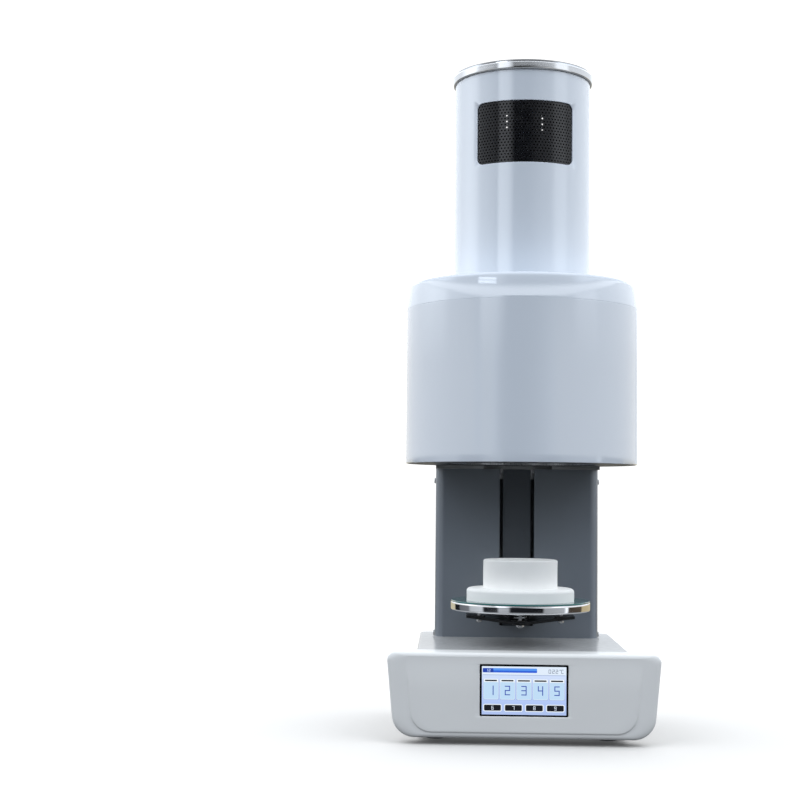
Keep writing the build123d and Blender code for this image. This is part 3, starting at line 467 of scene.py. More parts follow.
# ---------------------------------------------------------------------------
# muffle housing
# ---------------------------------------------------------------------------
HR, HT = 138.5, 1.6
SEAM = 504.4
SEAT = 537.0                # where the tower stands on the cowl
shell = [(HR - HT, 319.4), (HR, 319.4), (HR, 330.0), (HR, 380.0), (HR, 440.0), (HR, SEAM - 1.2), (HR, SEAM), (HR - HT, SEAM)]
shell = round_profile(shell, [0, 1.5, 0, 0, 0, 0, 0.2, 0], 5)
lathe("muffle_housing", shell, "frame", "white_paint", ["muffle_shell"], segs=240)


def shoulder(off):
    """Drafted skirt, tight corner and shallow top of the cowl, as (r, z) points."""
    out = []
    r, z = HR, SEAM + 0.6
    for k in range(15):
        t = k / 14
        e = math.radians(5.0 + (1.2 * t / 0.46 if t < 0.46 else 1.2 + 3.2 * (t - 0.46) / 0.54))
        out.append((r - off * math.cos(e), z - off * math.sin(e)))
        r -= 1.80 * math.tan(e)
        z += 1.80
    r, z = r + 1.80 * math.tan(e), z - 1.80
    e0, rc = math.radians(9.4), 5.0
    for k in range(1, 13):
        e = e0 + (math.radians(83) - e0) * k / 12
        out.append((r - rc * (math.cos(e0) - math.cos(e)) - off * math.cos(e), z + rc * (math.sin(e) - math.sin(e0)) - off * math.sin(e)))
    x0, z0 = out[-1]
    zt = SEAT - off
    out.append((x0 + (84.0 - x0) * 0.5, z0 + (zt - z0) * 0.6))
    out.append((84.0, zt))
    return out


prof = [(HR - HT, SEAM - 0.01), (HR - 0.15, SEAM - 0.01), (HR - 0.03, SEAM + 0.08), (HR, SEAM + 0.25)] + shoulder(0.0) + [(72.0, SEAT), (72.0, SEAT - HT)] + list(reversed(shoulder(HT)))
lathe("shoulder_cowl", prof, "frame", "white_paint", ["shoulder_cover"], segs=240, angle=math.radians(35))
prof = [(HR - 3.1, SEAM - 8), (HR - HT - 0.05, SEAM - 8), (HR - HT - 0.05, SEAM + 0.3), (HR - 0.9, SEAM + 0.3), (HR - 0.9, SEAM + 1.6), (HR - 3.1, SEAM + 1.6)]
lathe("shoulder_spigot", prof, "frame", "dark_grey_paint", (), segs=240)

# ---------------------------------------------------------------------------
# tower with its front window and two rear slots
# ---------------------------------------------------------------------------
TR, TT = 82.0, 1.5
TZ0, TZ1 = SEAT + 0.02, 788.0
WZ0, WZ1 = 670.7, 744.1
WHW = TR * math.sin(math.radians(43.5))
WR = 7.0
KC = 8                       # segments of each rounded window corner


def window_lines(half, lo, hi, rad, margin):
    """Placeholder meant for grid positions along one direction (margin, corner zone, straight run, corner zone,
    margin); it does nothing and is not called.
    """
    pass


def tower():
    kc = KC // 2
    d = 5.0
    # x lines (projected, mm) right of centre and z lines, so that the corner patch has kc cells each way
    xs_straight = [(-(WHW - WR) + 2 * (WHW - WR) * i / 22) for i in range(23)]
    xs = [-(WHW + d) + (d + WR) * i / kc for i in range(kc)] + xs_straight + [(WHW - WR) + (d + WR) * (i + 1) / kc for i in range(kc)]
    zs_straight = [WZ0 + WR + (WZ1 - WZ0 - 2 * WR) * i / 12 for i in range(13)]
    zs = [WZ0 - d + (d + WR) * i / kc for i in range(kc)] + zs_straight + [WZ1 - WR + (d + WR) * (i + 1) / kc for i in range(kc)]
    nxw, nzw = len(xs), len(zs)
    th_w = [math.asin(x / TR) for x in xs]                 # about the -Y direction
    side = [th_w[-1] + (math.pi - 2 * th_w[-1]) * i / 20 for i in range(1, 20)]
    # full ring of angles: front window, right side, rear with its two slots, left side
    slot_t = [math.pi - math.asin(x / TR) for x in (30.2, 28.2, -15.2, -17.2)]
    plain = [math.pi + t for t in th_w if min(abs(math.pi + t - q) for q in slot_t) > 0.02]
    back = sorted(plain + slot_t)
    ring = th_w + side + back + [math.pi + s for s in side]
    zrows = [TZ0, TZ0 + 0.5] + [TZ0 + 14 * k for k in range(1, 9)] + zs + [WZ1 + d + 4, 767.0, 780.0, TZ1]
    zrows = sorted(set(round(z, 5) for z in zrows))
    zi = {z: i for i, z in enumerate(zrows)}
    win_rows = [zi[round(z, 5)] for z in zs]
    nA = len(ring)
    slot_cols = [ring.index(slot_t[0]), ring.index(slot_t[2])]
    slot_r0, slot_r1 = zi[round(zs[-2], 5)], zi[767.0]

    def pt(th, z, r):
        return P(r * math.sin(th), -r * math.cos(th), z)

    verts, faces = [], []

    def layer(r, flip, grow):
        """One skin: grid with one rounded-window hole and two slot holes. Returns the hole loops."""
        base = len(verts)
        for z in zrows:
            for th in ring:
                verts.append(pt(th, z, r))
        rows, hole_loops = len(zrows), []
        r0, r1 = win_rows[0], win_rows[-1]

        def gv(i, j):
            return base + j * nA + (i % nA)

        for w in range(1):
            c0 = 0
            off = 0.0
            # outer rectangle loop, counter-clockwise from the bottom-left corner's end on the bottom side
            outer, inner = [], []
            hw, z0, z1, rr = WHW + grow, WZ0 - grow, WZ1 + grow, WR + grow

            def add(i, j, x, z):
                outer.append(gv(c0 + i, r0 + j))
                verts.append(pt(off + math.asin(max(-1, min(1, x / TR))), z, r))
                inner.append(len(verts) - 1)

            nx, nz = nxw - 1, nzw - 1
            # bottom side, left to right between corner zones
            for i in range(kc, nx - kc + 1):
                add(i, 0, xs[i] * (hw - rr) / (WHW - WR), z0)
            # bottom right corner
            for k in range(1, KC):
                a = math.radians(-90 + 90 * k / KC)
                i, j = (nx - kc + k, 0) if k <= kc else (nx, k - kc)
                add(i, j, hw - rr + rr * math.cos(a), z0 + rr + rr * math.sin(a))
            for j in range(kc, nz - kc + 1):
                add(nx, j, hw, z0 + rr + (zs[j] - (WZ0 + WR)) * ((z1 - z0 - 2 * rr) / (WZ1 - WZ0 - 2 * WR)))
            for k in range(1, KC):
                a = math.radians(90 * k / KC)
                i, j = (nx, nz - kc + k) if k <= kc else (nx - (k - kc), nz)
                add(i, j, hw - rr + rr * math.cos(a), z1 - rr + rr * math.sin(a))
            for i in range(nx - kc, kc - 1, -1):
                add(i, nz, xs[i] * (hw - rr) / (WHW - WR), z1)
            for k in range(1, KC):
                a = math.radians(90 + 90 * k / KC)
                i, j = (kc - k, nz) if k <= kc else (0, nz - (k - kc))
                add(i, j, -(hw - rr) + rr * math.cos(a), z1 - rr + rr * math.sin(a))
            for j in range(nz - kc, kc - 1, -1):
                add(0, j, -hw, z0 + rr + (zs[j] - (WZ0 + WR)) * ((z1 - z0 - 2 * rr) / (WZ1 - WZ0 - 2 * WR)))
            for k in range(1, KC):
                a = math.radians(180 + 90 * k / KC)
                i, j = (0, kc - k) if k <= kc else (k - kc, 0)
                add(i, j, -(hw - rr) + rr * math.cos(a), z0 + rr + rr * math.sin(a))
            m = len(outer)
            for q in range(m):
                q2 = (q + 1) % m
                f = [outer[q], outer[q2], inner[q2], inner[q]]
                faces.append(f[::-1] if flip else f)
            hole_loops.append(inner)
        for j in range(rows - 1):
            for i in range(nA):
                inside = False
                if i < nxw - 1 and r0 <= j < r1:
                    inside = True
                if (i in slot_cols) and slot_r0 <= j < slot_r1:
                    inside = True
                if not inside:
                    f = [gv(i, j), gv(i + 1, j), gv(i + 1, j + 1), gv(i, j + 1)]
                    faces.append(f[::-1] if flip else f)
        return base, hole_loops, gv

    b0, outer_loops, gvo = layer(TR, False, 0.45)
    b1, inner_loops, gvi = layer(TR - TT, True, 0.0)
    # middle loop just under the outer skin makes the rounded rim of each window
    for w in range(1):
        lo, li = outer_loops[w], inner_loops[w]
        mid = []
        for a, b in zip(lo, li):
            pa, pb = verts[a], verts[b]
            c = Vector((0, AX * MM, 0))
            th = math.atan2(pb.x, -(pb.y - c.y))
            verts.append(pt(th, pb.z / MM, TR - 0.4))
            mid.append(len(verts) - 1)
        m = len(lo)
        for q in range(m):
            q2 = (q + 1) % m
            faces.append([lo[q], lo[q2], mid[q2], mid[q]])
            faces.append([mid[q], mid[q2], li[q2], li[q]])
    rows = len(zrows)
    for c in slot_cols:                                  # walls of the two slots
        for j in range(slot_r0, slot_r1):
            faces.append([gvo(c, j), gvo(c, j + 1), gvi(c, j + 1), gvi(c, j)])
            faces.append([gvo(c + 1, j + 1), gvo(c + 1, j), gvi(c + 1, j), gvi(c + 1, j + 1)])
        faces.append([gvo(c + 1, slot_r0), gvo(c, slot_r0), gvi(c, slot_r0), gvi(c + 1, slot_r0)])
        faces.append([gvo(c, slot_r1), gvo(c + 1, slot_r1), gvi(c + 1, slot_r1), gvi(c, slot_r1)])
    for i in range(nA):
        faces.append([gvo(i + 1, 0), gvo(i, 0), gvi(i, 0), gvi(i + 1, 0)])
        faces.append([gvo(i, rows - 1), gvo(i + 1, rows - 1), gvi(i + 1, rows - 1), gvi(i, rows - 1)])
    return make("tower_sleeve", verts, faces, "frame", "white_paint", ["tower_shell"], angle=math.radians(40))


tower_obj = tower()
prof = [(74.0, TZ0), (TR - 0.6, TZ0), (TR - 0.6, TZ0 + 0.2), (TR - TT - 0.02, TZ0 + 0.2), (TR - TT - 0.02, TZ0 + 1.6), (74.0, TZ0 + 1.6)]
lathe("tower_foot_ring", prof, "frame", "steel", (), segs=120)

CAPP = [(0, 788.6), (76.5, 788.6), (78.6, 789.0), (80.3, 790.0), (81.8, 791.2), (82.7, 791.8), (83.3, 792.0), (83.9, 791.8), (84.35, 791.3), (84.5, 790.7),
        (84.5, 788.6), (84.5, 784.0), (84.5, 782.3), (84.3, 781.5), (83.8, 781.05), (83.2, 781.0), (82.2, 781.0), (82.2, 788.2), (79.0, 788.1), (78.0, 787.4), (0, 787.4)]
cap = lathe("rim_cap", CAPP, "frame", "chrome", ["top_cap"], segs=180, angle=math.radians(50), closed=False)
cap.data.materials.clear()
cap.data.materials.append(M["cap_chrome"])


# ---------------------------------------------------------------------------
# perforated front grille
# ---------------------------------------------------------------------------
def grille(name, node, sign):
    R = TR - TT - 0.15
    px, pz = 4.03, 3.5
    a, b = px / 2, pz / 2
    hr = 1.06
    half = (TR - TT) * math.sin(math.radians(43.5)) + 5.0
    th_max = math.asin(half / (TR - TT))
    ncol = int(2 * th_max * R / px)
    zlo, zhi = WZ0 - 8.0, WZ1 + 8.0
    nrow = int((zhi - zlo) / pz)
    zmid = 719.4 - pz * round((719.4 - (zlo + zhi) / 2) / pz) + (0 if nrow % 2 else pz / 2)
    grid, verts, faces = {}, [], []

    def v(u, z):
        key = (round(u * 1000), round(z * 1000))
        if key not in grid:
            th = u / R
            grid[key] = len(verts)
            verts.append(P(R * math.sin(th), sign * R * math.cos(th), z))
        return grid[key]

    bound = [(a, -b), (a, -b / 2), (a, 0), (a, b / 2), (a, b), (0, b), (-a, b), (-a, b / 2), (-a, 0), (-a, -b / 2), (-a, -b), (0, -b)]
    for c in range(ncol):
        for r in range(nrow):
            z = zmid + (r - (nrow - 1) / 2) * pz
            u = -22.47 + (c - ncol // 2 + 6) * px + (px / 2 if round((z - 719.4) / pz) % 2 else 0)
            ids_o, ids_i = [], []
            for (du, dz) in bound:
                ids_o.append(v(u + du, z + dz))
                an = math.atan2(dz, du)
                th = (u + hr * math.cos(an)) / R
                verts.append(P(R * math.sin(th), sign * R * math.cos(th), z + hr * math.sin(an)))
                ids_i.append(len(verts) - 1)
            m = len(bound)
            for q in range(m):
                q2 = (q + 1) % m
                f = [ids_o[q], ids_o[q2], ids_i[q2], ids_i[q]]
                faces.append(f)
    me = bpy.data.meshes.new(name)
    me.from_pydata([tuple(x) for x in verts], [], faces)
    me.validate()
    bm = bmesh.new()
    bm.from_mesh(me)
    bmesh.ops.recalc_face_normals(bm, faces=bm.faces)
    # point the skin outwards before giving it its thickness
    f0 = max(bm.faces, key=lambda f: f.calc_center_median().y * sign)
    out = Vector((0, sign, 0))
    if f0.normal.dot(out) < 0:
        bmesh.ops.reverse_faces(bm, faces=bm.faces)
    bm.to_mesh(me)
    bm.free()
    o = bpy.data.objects.new(name, me)
    bpy.context.scene.collection.objects.link(o)
    s = o.modifiers.new("sheet", "SOLIDIFY")
    s.thickness = 0.9 * MM
    s.offset = -1
    s.use_even_offset = False
    dg = bpy.context.evaluated_depsgraph_get()
    solid = bpy.data.meshes.new_from_object(o.evaluated_get(dg))
    o.modifiers.clear()
    o.data = solid
    solid.materials.clear()
    solid.materials.append(M["perforated_black"])
    shade(o, math.radians(35))
    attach(o, "frame")
    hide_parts(node)
    return o


grille("front_mesh_grille", "front_grille", -1)

# ---------------------------------------------------------------------------
# lift table
# ---------------------------------------------------------------------------
PR = 83.3
pl = [(0, 145.4), (PR - 2.0, 145.4), (PR - 0.8, 145.7), (PR - 0.15, 146.4), (PR, 147.1), (PR, 150.0), (PR, 153.0), (PR, 154.6), (PR - 0.2, 155.1), (PR - 0.6, 155.36), (PR - 1.0, 155.4), (0, 155.4)]
lathe("table_disc", pl, "table", "chrome", ["table_plate"], segs=240, closed=False, angle=math.radians(50))
sl = round_profile([(66.0, 155.41), (82.8, 155.41), (82.8, 157.2), (66.0, 157.2)], [0, 0.2, 0.6, 0.4], 4)
lathe("table_gasket", sl, "table", "seal", ["table_seal"], segs=200)


def soft(a, r, z):
    """Hand-finished fibre: the turned surface is very slightly uneven."""
    w = 0.10 * math.sin(3 * a + z * 0.13) + 0.06 * math.sin(7 * a + 1.7 + z * 0.31)
    return (r + (w if r > 30 else 0), z)


pb = [(0, 155.41), (64.2, 155.41)] + [(64.2, 158.0), (64.2, 163.0)] + arc2(60.2, 167.5, 4.0, 0, 90, 8) + [(50.0, 171.5), (0, 171.5)]
lathe("plinth_step", pb, "table", "fibre", ["plinth_base"], segs=200, closed=False, angle=math.radians(50), wob=soft)
pt_ = [(0, 171.52), (44.4, 171.52), (44.4, 180.0), (44.4, 192.0)] + arc2(42.2, 203.2, 2.2, 0, 90, 6) + [(36.2, 205.4), (35.5, 205.3), (35.0, 204.8), (35.0, 203.2), (34.6, 202.55), (34.0, 202.4), (0, 202.4)]
lathe("plinth_block", pt_, "table", "fibre", ["plinth_top"], segs=180, closed=False, angle=math.radians(50), wob=soft)

# float spring between the arm and the table
turns, sr, sw = 3.25, 7.0, 0.9
sz0, sh = 132.9 + 1.0, 145.4 - 0.2 - 132.9 - 1.8
vs, fs = [], []
N, K = 110, 12
for i in range(N + 1):
    t = i / N
    an = 2 * math.pi * turns * t
    c = Vector((sr * math.cos(an), sr * math.sin(an), sz0 + sh * t))
    tan = Vector((-sr * math.sin(an) * 2 * math.pi * turns, sr * math.cos(an) * 2 * math.pi * turns, sh)).normalized()
    nrm = Vector((math.cos(an), math.sin(an), 0))
    bi = tan.cross(nrm)
    for k in range(K):
        q = c + (nrm * math.cos(2 * math.pi * k / K) + bi * math.sin(2 * math.pi * k / K)) * sw
        vs.append(P(q.x, q.y, q.z))
for i in range(N):
    for k in range(K):
        k2 = (k + 1) % K
        fs.append([i * K + k, i * K + k2, (i + 1) * K + k2, (i + 1) * K + k])
fs.append([k for k in range(K)][::-1])
fs.append([N * K + k for k in range(K)])
spring = make("float_spring", vs, fs, "lift", "spring_steel", ["table_spring"], angle=math.radians(60))
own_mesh(spring)


# nuts under the table: bright acorn in the middle, blackened jam nuts beside
def hex_nut(cx_, z0, z1, af, hole, ch=0.35):
    v0, f0 = [], []
    R = af / 2 / math.cos(math.pi / 6)
    loops = [(hole, z0, 0), (R - ch * 2.2, z0, 1), (R, z0 + ch * 1.6, 2), (R, z1 - ch * 1.6, 2), (R - ch * 2.2, z1, 1), (hole, z1, 0)]
    K6 = 24
    for (r, z, kind) in loops:
        for k in range(K6):
            a = 2 * math.pi * k / K6
            if kind == 0:
                rr = r
            elif kind == 1:
                rr = min(r, af / 2 / max(math.cos((a % (math.pi / 3)) - math.pi / 6), 1e-6) - 0.02)
            else:
                rr = af / 2 / math.cos((a % (math.pi / 3)) - math.pi / 6)
            v0.append(P(cx_ + rr * math.cos(a), rr * math.sin(a), z))
    n = len(loops)
    for i in range(n):
        j = (i + 1) % n
        for k in range(K6):
            k2 = (k + 1) % K6
            f0.append([i * K6 + k, i * K6 + k2, j * K6 + k2, j * K6 + k])
    return v0, f0


def merged(name, parts, body, slot, nodes=(), **kw):
    v, f = [], []
    for pv, pf in parts:
        b = len(v)
        v += pv
        f += [[b + i for i in q] for q in pf]
    return make(name, v, f, body, slot, nodes, **kw)


def dome(z_top, depth, r, cx_=0.0):
    v, f = [], []
    K6, rows = 24, 8
    for i in range(rows + 1):
        a = math.pi / 2 * i / rows
        for k in range(K6):
            t = 2 * math.pi * k / K6
            v.append(P(cx_ + r * math.cos(a) * math.cos(t), r * math.cos(a) * math.sin(t), z_top - depth * math.sin(a)))
    for i in range(rows):
        for k in range(K6):
            k2 = (k + 1) % K6
            f.append([i * K6 + k, i * K6 + k2, (i + 1) * K6 + k2, (i + 1) * K6 + k])
    f.append([k for k in range(K6)])
    return v, f


merged("acorn_nut", [hex_nut(0, 124.9, 127.2, 8, 2.53, 0.25), dome(125.0, 2.3, 3.2)], "table", "steel", ["table_nuts"])
merged("lower_nuts", [hex_nut(-49, 130.7, 132.9, 5.5, 1.83, 0.2), hex_nut(49, 130.7, 132.9, 5.5, 1.83, 0.2)], "table", "zinc_screw")
merged("jam_nuts", [hex_nut(-49, 141.6, 145.38, 10, 1.83), hex_nut(49, 141.6, 145.38, 10, 1.83)], "table", "black_paint")

# ---------------------------------------------------------------------------
# front bezel: moulded shell with a soft raised face
# ---------------------------------------------------------------------------
BY0, BY1, BZT, BZB = -100.0, -66.0, 103.5, 8.0


def bez_loop(side, bot, top, rb, rt):
    """Tapered rounded outline, every loop with the same count of points, from the lower left corner."""
    k = (156.0 - 147.0) / (BZT - BZB)
    zb, zt = BZB + bot, BZT - top
    wb, wt = 147.0 + k * (zb - BZB) - side, 147.0 + k * (zt - BZB) - side
    c = round_profile([(-wb, zb), (wb, zb), (wt, zt), (-wt, zt)], [rb, rb, rt, rt], 12)
    return subdivide(c)


def subdivide(c):
    out = []
    per = len(c) // 4
    for q in range(4):
        seg = c[q * per:(q + 1) * per]
        out += seg
        a, b = seg[-1], c[((q + 1) * per) % len(c)]
        n = 16 if q in (0, 2) else 8
        out += [(a[0] + (b[0] - a[0]) * i / n, a[1] + (b[1] - a[1]) * i / n) for i in range(1, n)]
    return out


def bezel():
    loops = []
    o0 = bez_loop(0, 0, 0, 26, 9)
    loops.append([(x, BY1, z) for x, z in o0])
    loops.append([(x, BY1 - 12, z) for x, z in o0])
    for k in range(0, 7):
        a = math.radians(15 * k)
        c = 1 - math.cos(a)
        loops.append([(x, BY0 + 4 - 4 * math.sin(a), z) for x, z in bez_loop(15 * c, 5.0 * c, 4.6 * c, 26 - 2.5 * c, 9 - 3.0 * c)])

    def lift(z):
        t = min(1.0, max(0.0, (97.0 - z) / 34.0))
        return 1.2 * t * t * (3 - 2 * t)

    for k in range(0, 7):
        t = k / 6
        h = t * t * (3 - 2 * t)
        d = 2.6 * t - 0.4
        loops.append([(x, BY0 - lift(z) * h, z) for x, z in bez_loop(20.5 + d, 5.6 + d, 4.9 + d, 25 - d, 5)])
    face = bez_loop(22.7, 7.8, 7.1, 22.8, 5)
    win = subdivide(round_profile([(-50.0, 33.2), (50.0, 33.2), (50.0, 91.2), (-50.0, 91.2)], [1.5] * 4, 12))
    rim = subdivide(round_profile([(-50.35, 32.85), (50.35, 32.85), (50.35, 91.55), (-50.35, 91.55)], [1.8] * 4, 12))
    for t in (0.12, 0.35, 0.65, 0.9):
        loops.append([(f[0] + (w[0] - f[0]) * t, BY0 - lift(f[1] + (w[1] - f[1]) * t), f[1] + (w[1] - f[1]) * t) for f, w in zip(face, rim)])
    loops.append([(x, BY0 - lift(z), z) for x, z in rim])
    loops.append([(x, BY0 - lift(z) + 0.12, z) for x, z in subdivide(round_profile([(-50.1, 33.1), (50.1, 33.1), (50.1, 91.3), (-50.1, 91.3)], [1.6] * 4, 12))])
    loops.append([(x, BY0 - lift(z) + 0.4, z) for x, z in win])
    loops.append([(x, BY0 + 3, z) for x, z in win])
    inn = bez_loop(3, 3, 3, 23, 6)
    loops.append([(x, BY0 + 3, z) for x, z in inn])
    loops.append([(x, BY1, z) for x, z in inn])
    n = len(loops[0])
    vs_ = [P(*q) for lp in loops for q in lp]
    fs_ = []
    for i in range(len(loops)):
        j = (i + 1) % len(loops)
        for k in range(n):
            k2 = (k + 1) % n
            fs_.append([i * n + k, i * n + k2, j * n + k2, j * n + k])
    return make("bezel_moulding", vs_, fs_, "frame", "white_plastic", ["front_bezel"], angle=math.radians(50))


bezel()

# ---------------------------------------------------------------------------
# screen picture: generic interface, digits only
# ---------------------------------------------------------------------------
GF = -100.8                 # front face of the screen cover, mm about the axis
SX0, SX1, SZ0, SZ1 = -47.6, 47.6, 35.25, 89.15
UI_MATS, UI_V, UI_F, UI_M = [], [], [], []
UI_INDEX = {}


def ui_mat(rgb, strength=1.0):
    key = (tuple(rgb), strength)
    if key not in UI_INDEX:
        UI_INDEX[key] = len(UI_MATS)
        UI_MATS.append(emissive("pixels_%02d" % len(UI_MATS), rgb, strength))
    return UI_INDEX[key]


def ui_poly(pts, rgb, level, strength=1.0):
    """Thin slab: pts are (right, down) mm from the picture's upper left corner."""
    y1 = GF - 0.012 * level
    y0 = GF + 0.01
    n = len(pts)
    b = len(UI_V)
    for y in (y1, y0):
        for (u, d) in pts:
            UI_V.append(P(SX0 + u, y, SZ1 - d))
    mi = ui_mat(rgb, strength)
    UI_F.append([b + i for i in range(n)]); UI_M.append(mi)
    UI_F.append([b + n + i for i in range(n)][::-1]); UI_M.append(mi)
    for i in range(n):
        j = (i + 1) % n
        UI_F.append([b + i, b + n + i, b + n + j, b + j]); UI_M.append(mi)


def rr(u0, d0, u1, d1, r, k=5):
    pts = []
    for (cu, cd, a0) in ((u1 - r, d0 + r, -90), (u1 - r, d1 - r, 0), (u0 + r, d1 - r, 90), (u0 + r, d0 + r, 180)):
        for i in range(k + 1):
            a = math.radians(a0 + 90 * i / k)
            pts.append((cu + r * math.cos(a), cd + r * math.sin(a)))
    return pts


def disc(u, d, r, k=20):
    return [(u + r * math.cos(2 * math.pi * i / k), d + r * math.sin(2 * math.pi * i / k)) for i in range(k)]


def quad(u0, d0, u1, d1):
    return [(u0, d0), (u1, d0), (u1, d1), (u0, d1)]


SEG = {"0": "abcdef", "1": "bc", "2": "abged", "3": "abgcd", "4": "fgbc", "5": "afgcd", "6": "afgedc", "7": "abc", "8": "abcdefg", "9": "abcdfg", "C": "adef"}


def digit(ch, u, d, w, h, t, rgb, level):
    s = {"a": (u, d, u + w, d + t), "b": (u + w - t, d, u + w, d + h / 2), "c": (u + w - t, d + h / 2, u + w, d + h), "d": (u, d + h - t, u + w, d + h),
         "e": (u, d + h / 2, u + t, d + h), "f": (u, d, u + t, d + h / 2), "g": (u, d + h / 2 - t / 2, u + w, d + h / 2 + t / 2)}
    for k in SEG[ch]:
        ui_poly(quad(*s[k]), rgb, level)


# background in soft vertical bands
W, H = SX1 - SX0, SZ1 - SZ0
rows = [(0, 9.2, (226, 238, 252)), (9.2, 14.5, (208, 223, 251)), (14.5, 22, (196, 213, 250)), (22, 31, (187, 206, 249)), (31, 40, (180, 201, 248)), (40, 47, (178, 199, 246)), (47, H, (176, 196, 240))]
for (a, b_, c) in rows:
    ui_poly(quad(0, a, W, b_), c, 1)
ui_poly(rr(0.9, 2.0, 62.2, 6.9, 0.9), (46, 98, 218), 2)
ui_poly(rr(0.9, 2.0, 62.2, 4.6, 0.9), (84, 150, 240), 3)
ui_poly(rr(0.9, 2.2, 13.0, 6.7, 0.8), (30, 66, 170), 4)
for k, ch in enumerate("12"):
    digit(ch, 4.6 + 3.0 * k, 3.0, 2.0, 3.0, 0.45, (196, 222, 252), 5)
for k, ch in enumerate("022"):
    digit(ch, 75.2 + 4.0 * k, 3.0, 2.7, 4.3, 0.52, (96, 110, 138), 2)
ui_poly(disc(88.1, 3.5, 0.62, 10), (96, 110, 138), 2)
digit("C", 89.4, 3.0, 2.6, 4.3, 0.52, (96, 110, 138), 2)
ui_poly(quad(1.2, 9.3, W - 1.2, 9.9), (158, 178, 214), 2)
tiles = [(1.9 + 18.6 * i, 18.7 + 18.6 * i) for i in range(5)]
for i, (u0, u1) in enumerate(tiles):
    ui_poly(rr(u0 - 0.35, 14.4, u1 + 0.35, 37.4, 1.4), (146, 168, 210), 2)
    ui_poly(rr(u0, 14.1, u1, 37.0, 1.4), (240, 248, 254), 3)
    ui_poly(rr(u0 + 0.3, 17.6, u1 - 0.3, 36.6, 0.8), (192, 221, 246), 4)
    ui_poly(rr(u0 + 1.6, 15.1, u1 - 1.6, 16.7, 0.5), (8, 12, 26), 5)
    digit("12345"[i], (u0 + u1) / 2 - 3.0, 21.6, 6.0, 10.6, 1.1, (60, 84, 176), 5)


def button(u0, d0, u1, d1):
    ui_poly(rr(u0 - 0.9, d0 - 0.9, u1 + 0.9, d1 + 0.9, 1.9), (240, 247, 254), 2)
    ui_poly(rr(u0, d0, u1, d1, 1.2), (6, 8, 18), 3)


for k in range(4):
    button(2.6 + 23.6 * k, 43.0, 21.6 + 23.6 * k, 49.6)
    digit("6789"[k], 10.9 + 23.6 * k, 44.2, 2.4, 4.2, 0.5, (222, 232, 247), 4)
make("screen_picture", UI_V, UI_F, "frame", "screen_glass", (), mats=UI_MATS, face_mats=UI_M, angle=math.radians(20), fix=False)

for n, o in NODES.items():
    if not o.hide_render:
        shade(o, math.radians(28))

# ---------------------------------------------------------------------------
# stage: floor, light, camera
# ---------------------------------------------------------------------------
me = bpy.data.meshes.new("studio_floor")
S = 30.0
me.from_pydata([(-S, -S, 0), (S, -S, 0), (S, S, 0), (-S, S, 0)], [], [[0, 1, 2, 3]])
floor = bpy.data.objects.new("studio_floor", me)
bpy.context.scene.collection.objects.link(floor)
fm = Mat("floor_white")
fm.set(Base_Color=(0.70, 0.675, 0.645, 1), Roughness=0.9, Specular_IOR_Level=0.0)
me.materials.append(fm.m)
floor.visible_glossy = False
floor.visible_diffuse = False
floor.visible_transmission = False


